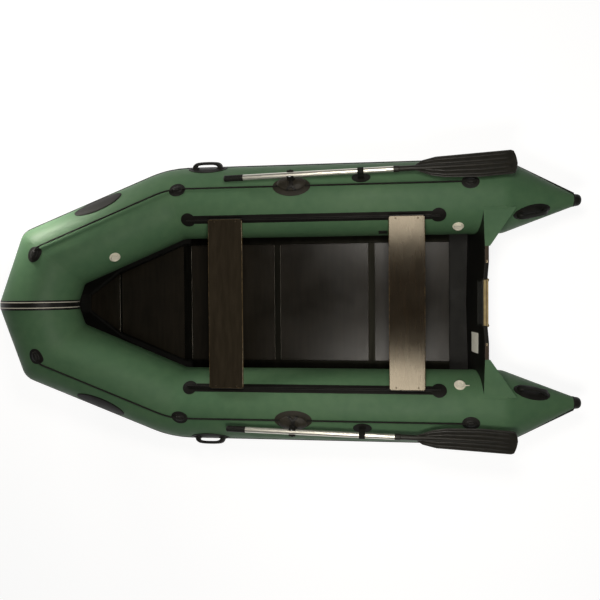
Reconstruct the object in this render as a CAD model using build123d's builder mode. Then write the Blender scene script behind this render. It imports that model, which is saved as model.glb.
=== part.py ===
"""Inflatable motor boat with sectional floor, transom, two sliding benches and two oars.

Frame: +X to the bow, +Y to port, +Z up, millimetres. The origin is on the ground under
the middle of the hull. Every piece on the port side is modelled, and its starboard twin
is its mirror image about the centre plane.
"""

import math
import os

from build123d import *

os.makedirs("parts", exist_ok=True)

# ---------------------------------------------------------------- driving dimensions
overall_length = 3300.0
hull_beam = 1600.0
tube_diameter = 415.0

# Hull tube: straight sides, then two facets on each side that rise to the nose.
bow_length = 1001.0
front_facet_depth = 305.0
front_facet_half_width = 270.0
corner_rise = 172.5
nose_rise = 200.0
cone_length = 375.0
cone_tip_radius = 34.0
cone_tip_inset = 35.0
cone_tip_rise = 42.0
cap_length = 41.0
cap_edge_fillet = 12.0

# Fabric pieces glued on the tubes.
patch_thickness = 3.0
bow_band_width = 55.0
bow_band_thickness = 2.5
strake_height = 34.0
strake_thickness = 6.0
strake_trim = 60.0

# Transom and its fittings.
transom_inset = 178.0
transom_rake = 8.1
transom_thickness = 22.0
transom_crown = 4.0
transom_notch_depth = 29.0
transom_notch_half_width = 125.0
transom_notch_top_half_width = 215.0
transom_shoulder_half_width = 305.0
transom_wing_inset = 92.5
transom_wing_tuck = 30.0
gusset_reach = 175.0
gusset_tip_width = 27.0
gusset_tuck = 25.0
gusset_thickness = 3.0
gusset_flange_width = 36.0
pad_width = 264.0
pad_height = 105.0
pad_thickness = 6.0
pad_corner = 14.0
pad_drop = 4.0
clamp_plate_thickness = 4.0
clamp_plate_height = 120.0
clamp_lip_gap = 1.0
drain_offset = 150.0
drain_height = 79.0
drain_radius = 17.0
drain_stand = 12.0
drain_flange_radius = 25.0
drain_flange_thickness = 4.0
drain_edge = 3.0

# Bottom.
skin_thickness = 4.0
keel_strip_width = 60.0
keel_strip_thickness = 3.0
skin_overhang = 40.0
chine_gap = 29.4
chine_height = 50.0
bow_chine_margin = 41.0
tip_chine_margin = 17.0
tip_chine_rise = 2.0
tip_setback = 18.0
bow_keel_height = 14.0
tip_keel_height = 42.0
stem_setback = 25.0
stem_tuck = 42.5
stem_half_width = 60.0
stem_edge_rise = 15.0

# Floor.
floor_lift = 6.0
board_thickness = 15.0
board_corner = 3.0
joint_flange_thickness = 3.0
joint_web = 8.0
joint_widths = [14.0, 51.0, 40.0, 40.0]
bow_joint_setback = 586.0
front_joint_setback = 20.0
second_board_share = 0.3542
third_board_share = 0.3586
bilge_length = 101.0
bow_board_half_width = 185.0
bow_board_tip_setback = 388.0
bow_board_tip_half_width = 45.0
stringer_width = 72.0
stringer_height = 25.0
stringer_corner = 3.0

# Benches and the rails that they slide on.
rail_angle = -33.0
rail_front_setback = 117.0
rail_aft_inset = 181.0
rail_width = 50.0
rail_end_radius = 43.0
bead_radius = 5.0
bead_stand = 13.0
bead_web = 3.0
bead_overrun = 10.0
slide_clearance = 0.4
slider_wall = 3.5
slider_mouth = 7.0
slider_foot_width = 34.0
slider_foot_inset = 8.0
slider_bridge = 5.0
slider_inset = 6.0
bench_overhang = 2.6
bench_width = 195.0
bench_thickness = 20.0
bench_corner = 10.0
bench_edge = 3.0
front_bench_setback = 225.0
rear_bench_setback = 172.0

# Rowlocks and oars.
rowlock_setback = 719.0
rowlock_patch_angle = 17.0
rowlock_patch_length = 213.0
rowlock_patch_width = 112.0
rowlock_boss_angle = 21.0
rowlock_boss_length = 165.0
rowlock_boss_width = 88.0
rowlock_boss_height = 22.0
rowlock_boss_taper = 12.0
rowlock_post_wall = 6.0
rowlock_pin_angle = 28.0
rowlock_tilt = 20.0
rowlock_pin_radius = 6.0
pin_clearance = 0.05
pin_depth = 18.0
pin_well = 2.0
oar_stand = 58.0
oar_splay = 1.8
shaft_radius = 16.0
fork_wall = 5.0
fork_length = 38.0
fork_rim_drop = 6.0
running_gap = 0.3
handle_reach = 374.0
grip_length = 109.0
grip_wall = 1.5
grip_edge = 8.0
blade_joint_reach = 572.0
blade_neck_length = 120.0
blade_neck_step = 1.0
blade_neck_overlap = 20.0
blade_neck_half_width = 12.0
blade_length = 642.0
blade_thickness = 6.0
blade_corner = 10.0
blade_spine_end_gap = 60.0
blade_spine_half_width = 8.0
blade_spine_stand = 0.5
clip_share = 0.3967
clip_length = 33.0
clip_wall = 5.0
clip_gap = 1.5
clip_jaw = 10.0
clip_back = 2.0
clip_stem_width = 24.0
clip_foot_length = 104.0
clip_foot_width = 60.0

# Grab line and handles.
rope_radius = 4.5
rope_lift = 9.0
rope_angle = 16.5
rope_tail = 22.0
stern_ring_inset = 13.0
shoulder_ring_setback = 61.0
bow_ring_reach = 36.0
shoulder_rope_radius = 140.0
corner_rope_radius = 35.0
ring_saddle_length = 36.0
ring_saddle_wall = 3.0
ring_foot_length = 96.0
ring_foot_width = 75.0
ring_clearance = 0.2
side_handle_setback = 212.0
side_patch_gap = 6.0
side_patch_length = 230.0
side_patch_width = 120.0
handle_span = 132.0
handle_height = 40.0
handle_foot_spread = 26.0
handle_foot_width = 34.0
handle_shoulder_spread = 4.0
handle_foot_height = 2.0
handle_bar_width = 26.0
handle_bar_thickness = 16.0
aft_handle_reach = 140.0
aft_handle_angle = -39.0
aft_patch_length = 212.0
aft_patch_width = 88.0

# Valves, bare patches and the tow eye.
valve_flange_radius = 31.0
valve_cap_radius = 23.0
valve_flange_thickness = 3.0
valve_height = 13.0
bow_valve_reach = 450.0
bow_valve_angle = -52.0
starboard_valve_inset = 71.0
starboard_valve_angle = -56.0
port_valve_inset = 68.0
port_valve_angle = -43.0
name_patch_length = 290.0
name_patch_width = 120.0
name_patch_reach = 410.0
name_patch_angle = 48.0
plate_width = 115.0
plate_length = 140.0
plate_corner = 6.0
plate_gap = 98.5
plate_drop = 2.5
label_length = 50.0
label_width = 39.0
label_corner = 4.0
label_inset = 483.0
label_angle = -70.0
label_thickness = 1.0
tow_eye_angle = 140.0
tow_eye_bore = 12.0
tow_eye_radius = 24.0
tow_eye_thickness = 10.0
tow_eye_stand = 10.0
tow_eye_foot_margin = 8.0
tow_eye_foot_height = 6.0
tow_eye_neck_share = 0.8

# ---------------------------------------------------------------- derived places
tube_radius = tube_diameter / 2
tube_axis_y = hull_beam / 2 - tube_radius
bow_x = overall_length / 2
stern_x = -overall_length / 2
cone_tip_x = stern_x + cap_length
cone_base_x = cone_tip_x + cone_length
shoulder_x = bow_x - bow_length
corner_x = bow_x - front_facet_depth
transom_x = cone_base_x + transom_inset
floor_height = chine_height + skin_thickness + floor_lift
floor_top = floor_height + board_thickness
mitre_allowance = 300.0
sink = tube_radius / 10
up = Vector(0, 0, 1)


def corner_facet_slant():
    """Level angle between the front facet and the centre plane's normal, by iteration."""
    slant = 0.0
    for _ in range(40):
        front_x = bow_x - (tube_radius + bow_band_thickness) / math.cos(slant)
        slant = math.atan2(front_x - corner_x, front_facet_half_width)
    return slant


nose_x = bow_x - (tube_radius + bow_band_thickness) / math.cos(corner_facet_slant())
cone_base = Vector(cone_base_x, tube_axis_y, tube_radius)
cone_tip = Vector(cone_tip_x, tube_axis_y - cone_tip_inset, tube_radius + cone_tip_rise)
shoulder = Vector(shoulder_x, tube_axis_y, tube_radius)
corner = Vector(corner_x, front_facet_half_width, tube_radius + corner_rise)
nose = Vector(nose_x, 0, tube_radius + nose_rise)


# ---------------------------------------------------------------- helpers
def run_plane(start, end):
    """Plane across a run of tube: local x level and outboard, local y up, z along."""
    along = (end - start).normalized()
    outboard = up.cross(along).normalized()
    return Plane(origin=start, x_dir=outboard, z_dir=along)


def mitre(before, point, after):
    """Plane at point that halves the turn between two runs, facing forward."""
    facing = (point - before).normalized() + (after - point).normalized()
    return Plane(origin=point, z_dir=facing.normalized())


stern_cut = Plane(origin=cone_base, z_dir=(1, 0, 0))
shoulder_cut = mitre(cone_base, shoulder, corner)
corner_cut = mitre(shoulder, corner, nose)
nose_cut = Plane(origin=nose, z_dir=(0, -1, 0))


def tube_run(radius, start, end, start_cut, end_cut):
    """One straight length of round tube between two cuts."""
    with BuildPart() as run:
        with BuildSketch(run_plane(start, end).offset(-mitre_allowance)):
            Circle(radius)
        extrude(amount=(end - start).length + 2 * mitre_allowance)
        split(bisect_by=start_cut, keep=Keep.TOP)
        split(bisect_by=end_cut, keep=Keep.BOTTOM)
    return run.part


def side_run(radius):
    """Straight side of the hull tube."""
    return tube_run(radius, cone_base, shoulder, stern_cut, shoulder_cut)


def bow_run(radius):
    """The two bow facets of the hull tube, up to the centre plane."""
    with BuildPart() as run:
        add(tube_run(radius, shoulder, corner, shoulder_cut, corner_cut))
        add(tube_run(radius, corner, nose, corner_cut, nose_cut))
    return run.part


def cone_run(growth):
    """Stern cone of the hull tube, its skin moved out by growth."""
    with BuildPart() as run:
        with BuildSketch(Plane(origin=cone_base, x_dir=(0, 1, 0), z_dir=(1, 0, 0))):
            Circle(tube_radius + growth)
        with BuildSketch(Plane(origin=cone_tip, x_dir=(0, 1, 0), z_dir=(1, 0, 0))):
            Circle(cone_tip_radius + growth)
        loft(ruled=True)
    return run.part


def face_on_run(start, end, along, angle, radius=tube_radius):
    """Plane on a run's skin, z outward, x along; the angle is from the top, outboard."""
    across = run_plane(start, end)
    turn = math.radians(angle)
    outward = across.x_dir * math.sin(turn) + across.z_dir.cross(across.x_dir) * math.cos(turn)
    foot = start + across.z_dir * along + outward * radius
    return Plane(origin=foot, x_dir=across.z_dir, z_dir=outward)


def face_on_side(x, angle):
    """Plane on the straight side at a place along the boat."""
    return face_on_run(cone_base, shoulder, x - cone_base_x, angle)


def meet(point, direction, plane):
    """Where the line through point meets a plane."""
    normal = plane.z_dir
    return point + direction * ((plane.origin - point).dot(normal) / direction.dot(normal))


def line_along_hull(angle, radius):
    """Corner points of a line that keeps to the hull tube, from stern cut to nose."""
    turn = math.radians(angle)
    offset = Vector(0, math.sin(turn), math.cos(turn)) * radius
    stern = cone_base + offset
    at_shoulder = meet(stern, (shoulder - cone_base).normalized(), shoulder_cut)
    at_corner = meet(at_shoulder, (corner - shoulder).normalized(), corner_cut)
    at_nose = meet(at_corner, (nose - corner).normalized(), nose_cut)
    return [stern, at_shoulder, at_corner, at_nose]


def outward_from(start, end, point):
    """Unit vector from a run's axis out to a point beside it."""
    along = (end - start).normalized()
    foot = start + along * (point - start).dot(along)
    return (point - foot).normalized()


def hull_centre(x):
    """Point of the hull tube's axis at a place along the straight side or the long facet."""
    share = max(0, (x - shoulder_x) / (corner_x - shoulder_x))
    return shoulder + (corner - shoulder) * share


def angle_on_tube(arc):
    """Degrees round the hull tube that an arc length on its skin takes."""
    return math.degrees(arc / tube_radius)


def glued_patch(plane, outline, outer, inner):
    """Sheet with a given outline that follows the tube under it."""
    with BuildPart() as patch:
        with BuildSketch(plane):
            outline()
        extrude(amount=tube_radius / 4, both=True)
        add(outer, mode=Mode.INTERSECT)
        add(inner, mode=Mode.SUBTRACT)
    return patch.part


def write(part, name):
    """Label a piece and write its file."""
    part.label = name
    export_step(part, f"parts/{name}.step")


def write_pair(part, name):
    """Write the port piece and its mirror image."""
    write(part, f"{name}_port")
    write(mirror(part, about=Plane.XZ, mode=Mode.PRIVATE), f"{name}_starboard")


def write_both(part, name):
    """Write the port piece and its mirror image as two solids of one node."""
    with BuildPart() as both:
        add(part)
        add(mirror(part, about=Plane.XZ, mode=Mode.PRIVATE))
    write(both.part, name)


# ---------------------------------------------------------------- hull tubes
side_skin = side_run(tube_radius)
bow_skin = bow_run(tube_radius)
cone_skin = cone_run(0)
side_patch_skin = side_run(tube_radius + patch_thickness)
bow_patch_skin = bow_run(tube_radius + patch_thickness)
cone_patch_skin = cone_run(patch_thickness)

with BuildPart() as side_tube:
    add(side_skin)
    add(cone_skin)

with BuildPart() as bow_tube:
    add(bow_skin)

with BuildPart() as cone_cap:
    with BuildSketch(Plane(origin=cone_tip, x_dir=(0, -1, 0), z_dir=(-1, 0, 0))):
        Circle(cone_tip_radius)
    extrude(amount=cap_length)
    fillet(cone_cap.faces().sort_by(Axis.X)[0].edges(), radius=cap_edge_fillet)

with BuildPart() as hull_tubes:
    for half in (side_tube.part, bow_tube.part):
        add(half)
        add(mirror(half, about=Plane.XZ, mode=Mode.PRIVATE))

# ---------------------------------------------------------------- bottom
bow_joint = bow_x - bow_joint_setback
front_joint = shoulder_x - front_joint_setback
bow_board_tip_x = bow_x - bow_board_tip_setback
tube_half_chord = math.sqrt(tube_radius**2 - (tube_radius - chine_height) ** 2)
chine_half_width = tube_axis_y - tube_half_chord - chine_gap
stem_height = nose.Z - tube_radius + stem_tuck


def bottom_station(x, keel, chine_y, chine_z, inset, drop):
    """Port half of the bottom's section, from the keel out; its edge ends inside the tube."""
    centre = hull_centre(x)
    edge = (centre.Y - inset * tube_radius, centre.Z - drop * tube_radius)
    return x, [(0, keel), (chine_y, chine_z), edge]


keel_height = keel_strip_thickness
bottom_stations = [
    bottom_station(
        transom_x - skin_overhang, keel_height, chine_half_width, chine_height, 0.446, 0.653
    ),
    bottom_station(front_joint, keel_height, chine_half_width, chine_height, 0.446, 0.653),
    bottom_station(
        bow_joint, bow_keel_height, bow_board_half_width + bow_chine_margin, chine_height, 0.47, 0.51
    ),
    bottom_station(
        bow_board_tip_x + tip_setback,
        tip_keel_height,
        bow_board_tip_half_width + tip_chine_margin,
        chine_height + tip_chine_rise,
        0.43,
        0.43,
    ),
    (
        nose_x - stem_setback,
        [
            (0, stem_height),
            (stem_half_width, stem_height + tip_chine_rise),
            (2 * stem_half_width, stem_height + stem_edge_rise),
        ],
    ),
]

with BuildPart() as bottom_skin:
    for x, outer in bottom_stations:
        with BuildSketch(Plane(origin=(x, 0, 0), x_dir=(0, 1, 0), z_dir=(1, 0, 0))):
            with BuildLine():
                keel_point, *side_points = outer
                inner = [(y - skin_thickness, z + skin_thickness) for y, z in reversed(side_points)]
                port = side_points + inner
                starboard = [(-y, z) for y, z in reversed(port)]
                inside_keel = (0, keel_point[1] + skin_thickness)
                Polyline(keel_point, *port, inside_keel, *starboard, close=True)
            make_face()
    loft(ruled=True)
    add(hull_tubes.part, mode=Mode.SUBTRACT)

with BuildPart() as keel_strip:
    with BuildSketch(Plane.XZ):
        with BuildLine():
            keel_line = [(x, outer[0][1]) for x, outer in bottom_stations[:4]]
            below = [(x, z - keel_strip_thickness) for x, z in keel_line]
            above = [(x, z + keel_strip_thickness) for x, z in reversed(keel_line)]
            Polyline(*below, *above, close=True)
        make_face()
    extrude(amount=keel_strip_width / 2, both=True)
    add(bottom_skin.part, mode=Mode.SUBTRACT)

# ---------------------------------------------------------------- bow band and strakes
with BuildPart() as bow_band:
    wide = bow_run(tube_radius + bow_band_thickness)
    add(wide)
    add(mirror(wide, about=Plane.XZ, mode=Mode.PRIVATE))
    with Locations(nose):
        Box(2 * tube_diameter, bow_band_width, 2 * tube_diameter, mode=Mode.INTERSECT)
    add(hull_tubes.part, mode=Mode.SUBTRACT)
    add(bottom_skin.part, mode=Mode.SUBTRACT)

strake_points = line_along_hull(90.0, tube_radius)
cone_side = Vector(0, cone_tip_radius, 0) + cone_tip
strake_route = [cone_side] + strake_points
strake_axes = [cone_tip, cone_base, shoulder, corner, nose]


def length_of_strake(index):
    """One straight length of the rub strake, mitred to the lengths beside it."""
    start, end = strake_route[index : index + 2]
    along = (end - start).normalized()
    outward = outward_from(strake_axes[index], strake_axes[index + 1], (start + end) / 2)
    outward = (outward - along * outward.dot(along)).normalized()
    with BuildPart() as length:
        with BuildSketch(Plane(origin=start - along * strake_trim, x_dir=outward, z_dir=along)):
            Rectangle(2 * strake_thickness, strake_height)
        extrude(amount=(end - start).length + 2 * strake_trim)
        if index > 0:
            split(bisect_by=mitre(strake_route[index - 1], start, end), keep=Keep.TOP)
        if index + 2 < len(strake_route):
            split(bisect_by=mitre(start, end, strake_route[index + 2]), keep=Keep.BOTTOM)
    return length.part


with BuildPart() as rub_strake:
    for index in range(len(strake_route) - 1):
        add(length_of_strake(index))
    split(bisect_by=Plane(origin=cone_tip, z_dir=(1, 0, 0)), keep=Keep.TOP)
    split(bisect_by=Plane(origin=(0, bow_band_width / 2, 0), z_dir=(0, 1, 0)), keep=Keep.TOP)
    add(hull_tubes.part, mode=Mode.SUBTRACT)

# ---------------------------------------------------------------- transom
rake = math.radians(transom_rake)
transom_aft = Vector(-math.cos(rake), 0, -math.sin(rake))
transom_plane = Plane(origin=(transom_x, 0, 0), x_dir=(0, -1, 0), z_dir=transom_aft)


def on_transom(across, height):
    """Point of the transom's outline, its height measured straight up."""
    return (across, height / math.cos(rake))


transom_shoulder_height = tube_diameter + transom_crown
transom_notch_height = transom_shoulder_height - transom_notch_depth
transom_wing_half_width = tube_axis_y - transom_wing_inset
wing_drop = tube_radius + math.sqrt(tube_radius**2 - transom_wing_inset**2)
wing_slope = (transom_shoulder_height - wing_drop) / (
    transom_wing_half_width - transom_shoulder_half_width
)
tucked_half_width = transom_wing_half_width + transom_wing_tuck
bottom_edge = bottom_stations[0][1][-1]

with BuildPart() as transom:
    with BuildSketch(transom_plane):
        with BuildLine():
            half = [
                on_transom(transom_notch_half_width, transom_notch_height),
                on_transom(transom_notch_top_half_width, transom_shoulder_height),
                on_transom(transom_shoulder_half_width, transom_shoulder_height),
                on_transom(tucked_half_width, wing_drop - wing_slope * transom_wing_tuck),
                on_transom(tucked_half_width, bottom_edge[1] + skin_thickness),
                on_transom(bottom_edge[0] - skin_thickness, bottom_edge[1] + skin_thickness),
                on_transom(chine_half_width - skin_thickness, chine_height + skin_thickness),
                on_transom(0, keel_height + skin_thickness),
            ]
            other = [(-across, height) for across, height in reversed(half[:-1])]
            Polyline(*half, *other, close=True)
        make_face()
    extrude(amount=transom_thickness)
    add(hull_tubes.part, mode=Mode.SUBTRACT)
    add(bottom_skin.part, mode=Mode.SUBTRACT)

# Clamp pad inside, under the notch, and an angle plate over the notch's edge and outside.
notch_top = transom_notch_height / math.cos(rake)

with BuildPart() as transom_inner_pad:
    with BuildSketch(transom_plane):
        with Locations((0, notch_top - pad_height / 2 - pad_drop)):
            RectangleRounded(pad_width, pad_height, pad_corner)
    extrude(amount=-pad_thickness)

with BuildPart() as transom_clamp_plate:
    with BuildSketch(transom_plane.offset(transom_thickness)):
        with Locations((0, notch_top + clamp_plate_thickness - clamp_plate_height / 2)):
            Rectangle(pad_width, clamp_plate_height)
    extrude(amount=clamp_plate_thickness)
    with BuildSketch(transom_plane):
        with Locations((0, notch_top + clamp_plate_thickness / 2)):
            Rectangle(2 * (transom_notch_half_width - clamp_lip_gap), clamp_plate_thickness)
    extrude(amount=transom_thickness + clamp_plate_thickness)

with BuildPart() as drain_plug:
    with BuildSketch(transom_plane.offset(transom_thickness)):
        with Locations((drain_offset, drain_height)):
            Circle(drain_flange_radius)
    extrude(amount=drain_flange_thickness)
    with BuildSketch(transom_plane.offset(transom_thickness + drain_flange_thickness)):
        with Locations((drain_offset, drain_height)):
            Circle(drain_radius)
    extrude(amount=drain_stand)
    fillet(drain_plug.faces().sort_by(Axis.X)[0].edges(), radius=drain_edge)


# Fabric gusset from the transom's wing to the tube behind it.
def at_inner_face(height):
    """Place along the boat of the transom's inner face at a height."""
    return transom_x - height * math.tan(rake)


wing_point = Vector(at_inner_face(wing_drop), transom_wing_half_width, wing_drop)
shoulder_point = Vector(
    at_inner_face(transom_shoulder_height), transom_shoulder_half_width, transom_shoulder_height
)
gusset_normal = Vector(1, 0, 0).cross(
    Vector(0, wing_point.Y - shoulder_point.Y, wing_point.Z - shoulder_point.Z)
)
gusset_plane = Plane(origin=wing_point, x_dir=(-1, 0, 0), z_dir=gusset_normal)
wing_angle = -math.degrees(math.asin(transom_wing_inset / tube_radius))
flange_face = face_on_side(wing_point.X - gusset_reach / 2, wing_angle)


def flange_outline():
    """Strip of the gusset that is glued on the tube."""
    Rectangle(gusset_reach, gusset_flange_width)


with BuildPart() as transom_gusset:
    with BuildSketch(gusset_plane):
        with BuildLine():
            peak = gusset_plane.to_local_coords(shoulder_point)
            Polyline(
                (0, -gusset_tuck),
                (peak.X, peak.Y),
                (peak.X + gusset_tip_width, peak.Y),
                (gusset_reach, 0),
                (gusset_reach, -gusset_tuck),
                close=True,
            )
        make_face()
    extrude(amount=gusset_thickness)
    add(glued_patch(flange_face, flange_outline, side_patch_skin, side_skin))
    add(glued_patch(flange_face, flange_outline, cone_patch_skin, cone_skin))
    add(side_skin, mode=Mode.SUBTRACT)
    add(cone_skin, mode=Mode.SUBTRACT)
    add(transom.part, mode=Mode.SUBTRACT)

# ---------------------------------------------------------------- floor
def floor_board(outline):
    """Board with a given outline at the floor's height, its corners rounded."""
    with BuildPart() as board:
        with BuildSketch(Plane.XY.offset(floor_height)) as shape:
            with BuildLine():
                Polyline(*outline, close=True)
            make_face()
            fillet(shape.vertices(), radius=board_corner)
        extrude(amount=board_thickness)
    return board.part


def both_sides(points):
    """Outline from its port half, listed from bow to stern."""
    return points + [(x, -y) for x, y in reversed(points)]


web = joint_web / 2
board_half_width = chine_half_width - skin_thickness - stringer_width
floor_aft_x = transom_x + bilge_length
aft_floor_length = front_joint - floor_aft_x
middle_joint = front_joint - second_board_share * aft_floor_length
rear_joint = middle_joint - third_board_share * aft_floor_length
bow_outline = [(bow_board_tip_x, bow_board_tip_half_width), (bow_joint + web, bow_board_half_width)]
front_outline = [
    (bow_joint - web, bow_board_half_width),
    (front_joint + joint_widths[1] / 2, board_half_width),
    (front_joint + web, board_half_width),
]
board_outlines = [
    both_sides(bow_outline),
    both_sides(front_outline),
    both_sides([(front_joint - web, board_half_width), (middle_joint + web, board_half_width)]),
    both_sides([(middle_joint - web, board_half_width), (rear_joint + web, board_half_width)]),
    both_sides([(rear_joint - web, board_half_width), (floor_aft_x, board_half_width)]),
]
floor_boards = [floor_board(outline) for outline in board_outlines]


def floor_joint(x, width, half_length):
    """Double-sided channel that takes the edges of two boards."""
    with BuildPart() as joint:
        with BuildSketch(Plane.XZ):
            with Locations((x, floor_height + board_thickness / 2)):
                Rectangle(joint_web, board_thickness)
            with Locations((x, floor_top + joint_flange_thickness / 2)):
                Rectangle(width, joint_flange_thickness)
            with Locations((x, floor_height - joint_flange_thickness / 2)):
                Rectangle(width, joint_flange_thickness)
        extrude(amount=half_length, both=True)
    return joint.part


joint_places = [
    (bow_joint, bow_board_half_width),
    (front_joint, board_half_width),
    (middle_joint, board_half_width),
    (rear_joint, board_half_width),
]
floor_joints = [
    floor_joint(x, width, half_length)
    for (x, half_length), width in zip(joint_places, joint_widths)
]

stringer_front_x = front_joint - joint_widths[1] / 2
stringer_bottom = chine_height + skin_thickness + running_gap

with BuildPart() as floor_stringer:
    with BuildSketch(Plane(origin=(floor_aft_x, 0, 0), x_dir=(0, 1, 0), z_dir=(1, 0, 0))):
        middle = board_half_width + stringer_width / 2
        with Locations((middle, stringer_bottom + stringer_height / 2)):
            RectangleRounded(stringer_width, stringer_height, stringer_corner)
    extrude(amount=stringer_front_x - floor_aft_x)

# ---------------------------------------------------------------- bench rails
rail_front_x = shoulder_x - rail_front_setback
rail_aft_x = transom_x + rail_aft_inset
rail_length = rail_front_x - rail_aft_x
rail_middle = (rail_front_x + rail_aft_x) / 2
rail_face = face_on_side(rail_middle, rail_angle)
rail_side_plane = Plane(
    origin=Vector(rail_aft_x - bead_overrun, rail_face.origin.Y, rail_face.origin.Z),
    x_dir=rail_face.z_dir,
    z_dir=(1, 0, 0),
)
bead_length = rail_length + 2 * bead_overrun


def rail_outline():
    """Long strip with a round patch at each end."""
    Rectangle(rail_length, rail_width)
    with Locations((-rail_length / 2, 0), (rail_length / 2, 0)):
        Circle(rail_end_radius)


with BuildPart() as bench_rail:
    add(glued_patch(rail_face, rail_outline, side_patch_skin, side_skin))
    with BuildSketch(rail_side_plane):
        with Locations((bead_stand, 0)):
            Circle(bead_radius)
        with Locations((bead_stand / 2, 0)):
            Rectangle(bead_stand, bead_web)
    extrude(amount=bead_length)
    add(side_skin, mode=Mode.SUBTRACT)

# ---------------------------------------------------------------- benches
front_bench_x = rail_front_x - front_bench_setback
rear_bench_x = rail_aft_x + rear_bench_setback
rail_turn = math.radians(rail_angle)
bead_y = tube_axis_y + (tube_radius + bead_stand) * math.sin(rail_turn)
bead_z = tube_radius + (tube_radius + bead_stand) * math.cos(rail_turn)
slider_bore = bead_radius + slide_clearance
slider_outer = slider_bore + slider_wall
bench_bottom = bead_z + slider_outer + slider_bridge
bench_length = 2 * (bead_y + bench_overhang)


def bench(x):
    """Plank across the boat."""
    with BuildPart() as plank:
        with BuildSketch(Plane.XY.offset(bench_bottom)):
            with Locations((x, 0)):
                RectangleRounded(bench_width, bench_length, bench_corner)
        extrude(amount=bench_thickness)
        fillet(plank.faces().sort_by(Axis.Z)[-1].edges(), radius=bench_edge)
        fillet(plank.faces().sort_by(Axis.Z)[0].edges(), radius=bench_edge)
    return plank.part


def bench_sliders(x):
    """Channels under a bench's ends that run on the rails' beads, and their feet."""
    slot_depth = 2 * slider_outer
    section = Plane(
        origin=(x - bench_width / 2 + slider_inset, bead_y, bead_z),
        x_dir=(0, 1, 0),
        z_dir=(1, 0, 0),
    )
    with BuildPart() as port:
        with BuildSketch(section):
            Circle(slider_outer)
            with Locations((-slider_foot_inset, (bench_bottom - bead_z) / 2)):
                Rectangle(slider_foot_width, bench_bottom - bead_z)
            Circle(slider_bore, mode=Mode.SUBTRACT)
            slot_middle = (-math.sin(rail_turn) * slot_depth / 2, -math.cos(rail_turn) * slot_depth / 2)
            with Locations(Location(slot_middle, -rail_angle)):
                Rectangle(slider_mouth, slot_depth, mode=Mode.SUBTRACT)
        extrude(amount=bench_width - 2 * slider_inset)
    with BuildPart() as both:
        add(port.part)
        add(mirror(port.part, about=Plane.XZ, mode=Mode.PRIVATE))
    return both.part


# ---------------------------------------------------------------- rowlocks and oars
rowlock_x = shoulder_x - rowlock_setback
tilt = math.radians(rowlock_tilt)
pin_axis = Vector(0, math.sin(tilt), math.cos(tilt))
pin_turn = math.radians(rowlock_pin_angle)
pin_foot = Vector(
    rowlock_x,
    tube_axis_y + tube_radius * math.sin(pin_turn),
    tube_radius + tube_radius * math.cos(pin_turn),
)
oar_centre = pin_foot + pin_axis * oar_stand
splay = math.radians(oar_splay)
outboard_in_swing = Vector(0, math.cos(tilt), -math.sin(tilt))
oar_aft = Vector(-1, 0, 0) * math.cos(splay) + outboard_in_swing * math.sin(splay)
oar_outboard = Vector(1, 0, 0) * math.sin(splay) + outboard_in_swing * math.cos(splay)
oar_flat = Plane(origin=oar_centre, x_dir=oar_aft, z_dir=oar_aft.cross(oar_outboard))
oar_across = Plane(origin=oar_centre, x_dir=oar_outboard, z_dir=oar_aft)
fork_floor = shaft_radius + fork_wall
boss_top = oar_stand - fork_floor - running_gap


def rowlock_oval():
    """Oval flange of the rowlock's base."""
    Ellipse(rowlock_patch_length / 2, rowlock_patch_width / 2)


pin_plane = Plane(origin=pin_foot, x_dir=(1, 0, 0), z_dir=pin_axis)

with BuildPart() as rowlock_base:
    patch_face = face_on_side(rowlock_x, rowlock_patch_angle)
    add(glued_patch(patch_face, rowlock_oval, side_patch_skin, side_skin))
    with BuildSketch(face_on_side(rowlock_x, rowlock_boss_angle).offset(-sink)):
        Ellipse(rowlock_boss_length / 2, rowlock_boss_width / 2)
    extrude(amount=sink + rowlock_boss_height, taper=rowlock_boss_taper)
    with BuildSketch(pin_plane.offset(-sink)):
        Circle(shaft_radius + rowlock_post_wall)
    extrude(amount=sink + boss_top)
    add(side_skin, mode=Mode.SUBTRACT)
    with BuildSketch(pin_plane.offset(boss_top - pin_depth - pin_well)):
        Circle(rowlock_pin_radius + pin_clearance)
    extrude(amount=2 * pin_depth, mode=Mode.SUBTRACT)

with BuildPart() as rowlock_fork:
    with BuildSketch(oar_across.offset(-fork_length / 2)):
        with Locations((0, fork_rim_drop / 2)):
            Rectangle(2 * fork_floor, 2 * fork_floor - fork_rim_drop)
        Circle(shaft_radius, mode=Mode.SUBTRACT)
        with Locations((0, -fork_floor)):
            Rectangle(2 * shaft_radius, 2 * fork_floor, mode=Mode.SUBTRACT)
    extrude(amount=fork_length)
    with BuildSketch(pin_plane.offset(boss_top - pin_depth)):
        Circle(rowlock_pin_radius)
    extrude(amount=pin_depth + running_gap + fork_wall / 2)

with BuildPart() as oar_shaft:
    with BuildSketch(oar_across.offset(grip_length - handle_reach)):
        Circle(shaft_radius)
    extrude(amount=handle_reach - grip_length + blade_joint_reach)

with BuildPart() as oar_grip:
    with BuildSketch(oar_across.offset(-handle_reach)):
        Circle(shaft_radius + grip_wall)
    extrude(amount=grip_length)
    fillet(oar_grip.faces().sort_by(Axis.X)[-1].edges(), radius=grip_edge)

# Blade outline behind the neck: distance from the shaft's end, offset to outboard.
blade_root = blade_neck_length - blade_neck_overlap
blade_neck_radius = shaft_radius - blade_neck_step
blade_outline = [
    (blade_root, blade_neck_half_width),
    (blade_neck_length + 23, 42),
    (blade_neck_length + 98, 60),
    (blade_length - 28, 75),
    (blade_length, -5),
    (blade_length - 6, -40),
    (blade_length - 24, -68),
    (blade_length - 189, -77),
    (blade_length - 379, -67),
    (blade_neck_length + 73, -53),
    (blade_root, -blade_neck_half_width),
]

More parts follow.
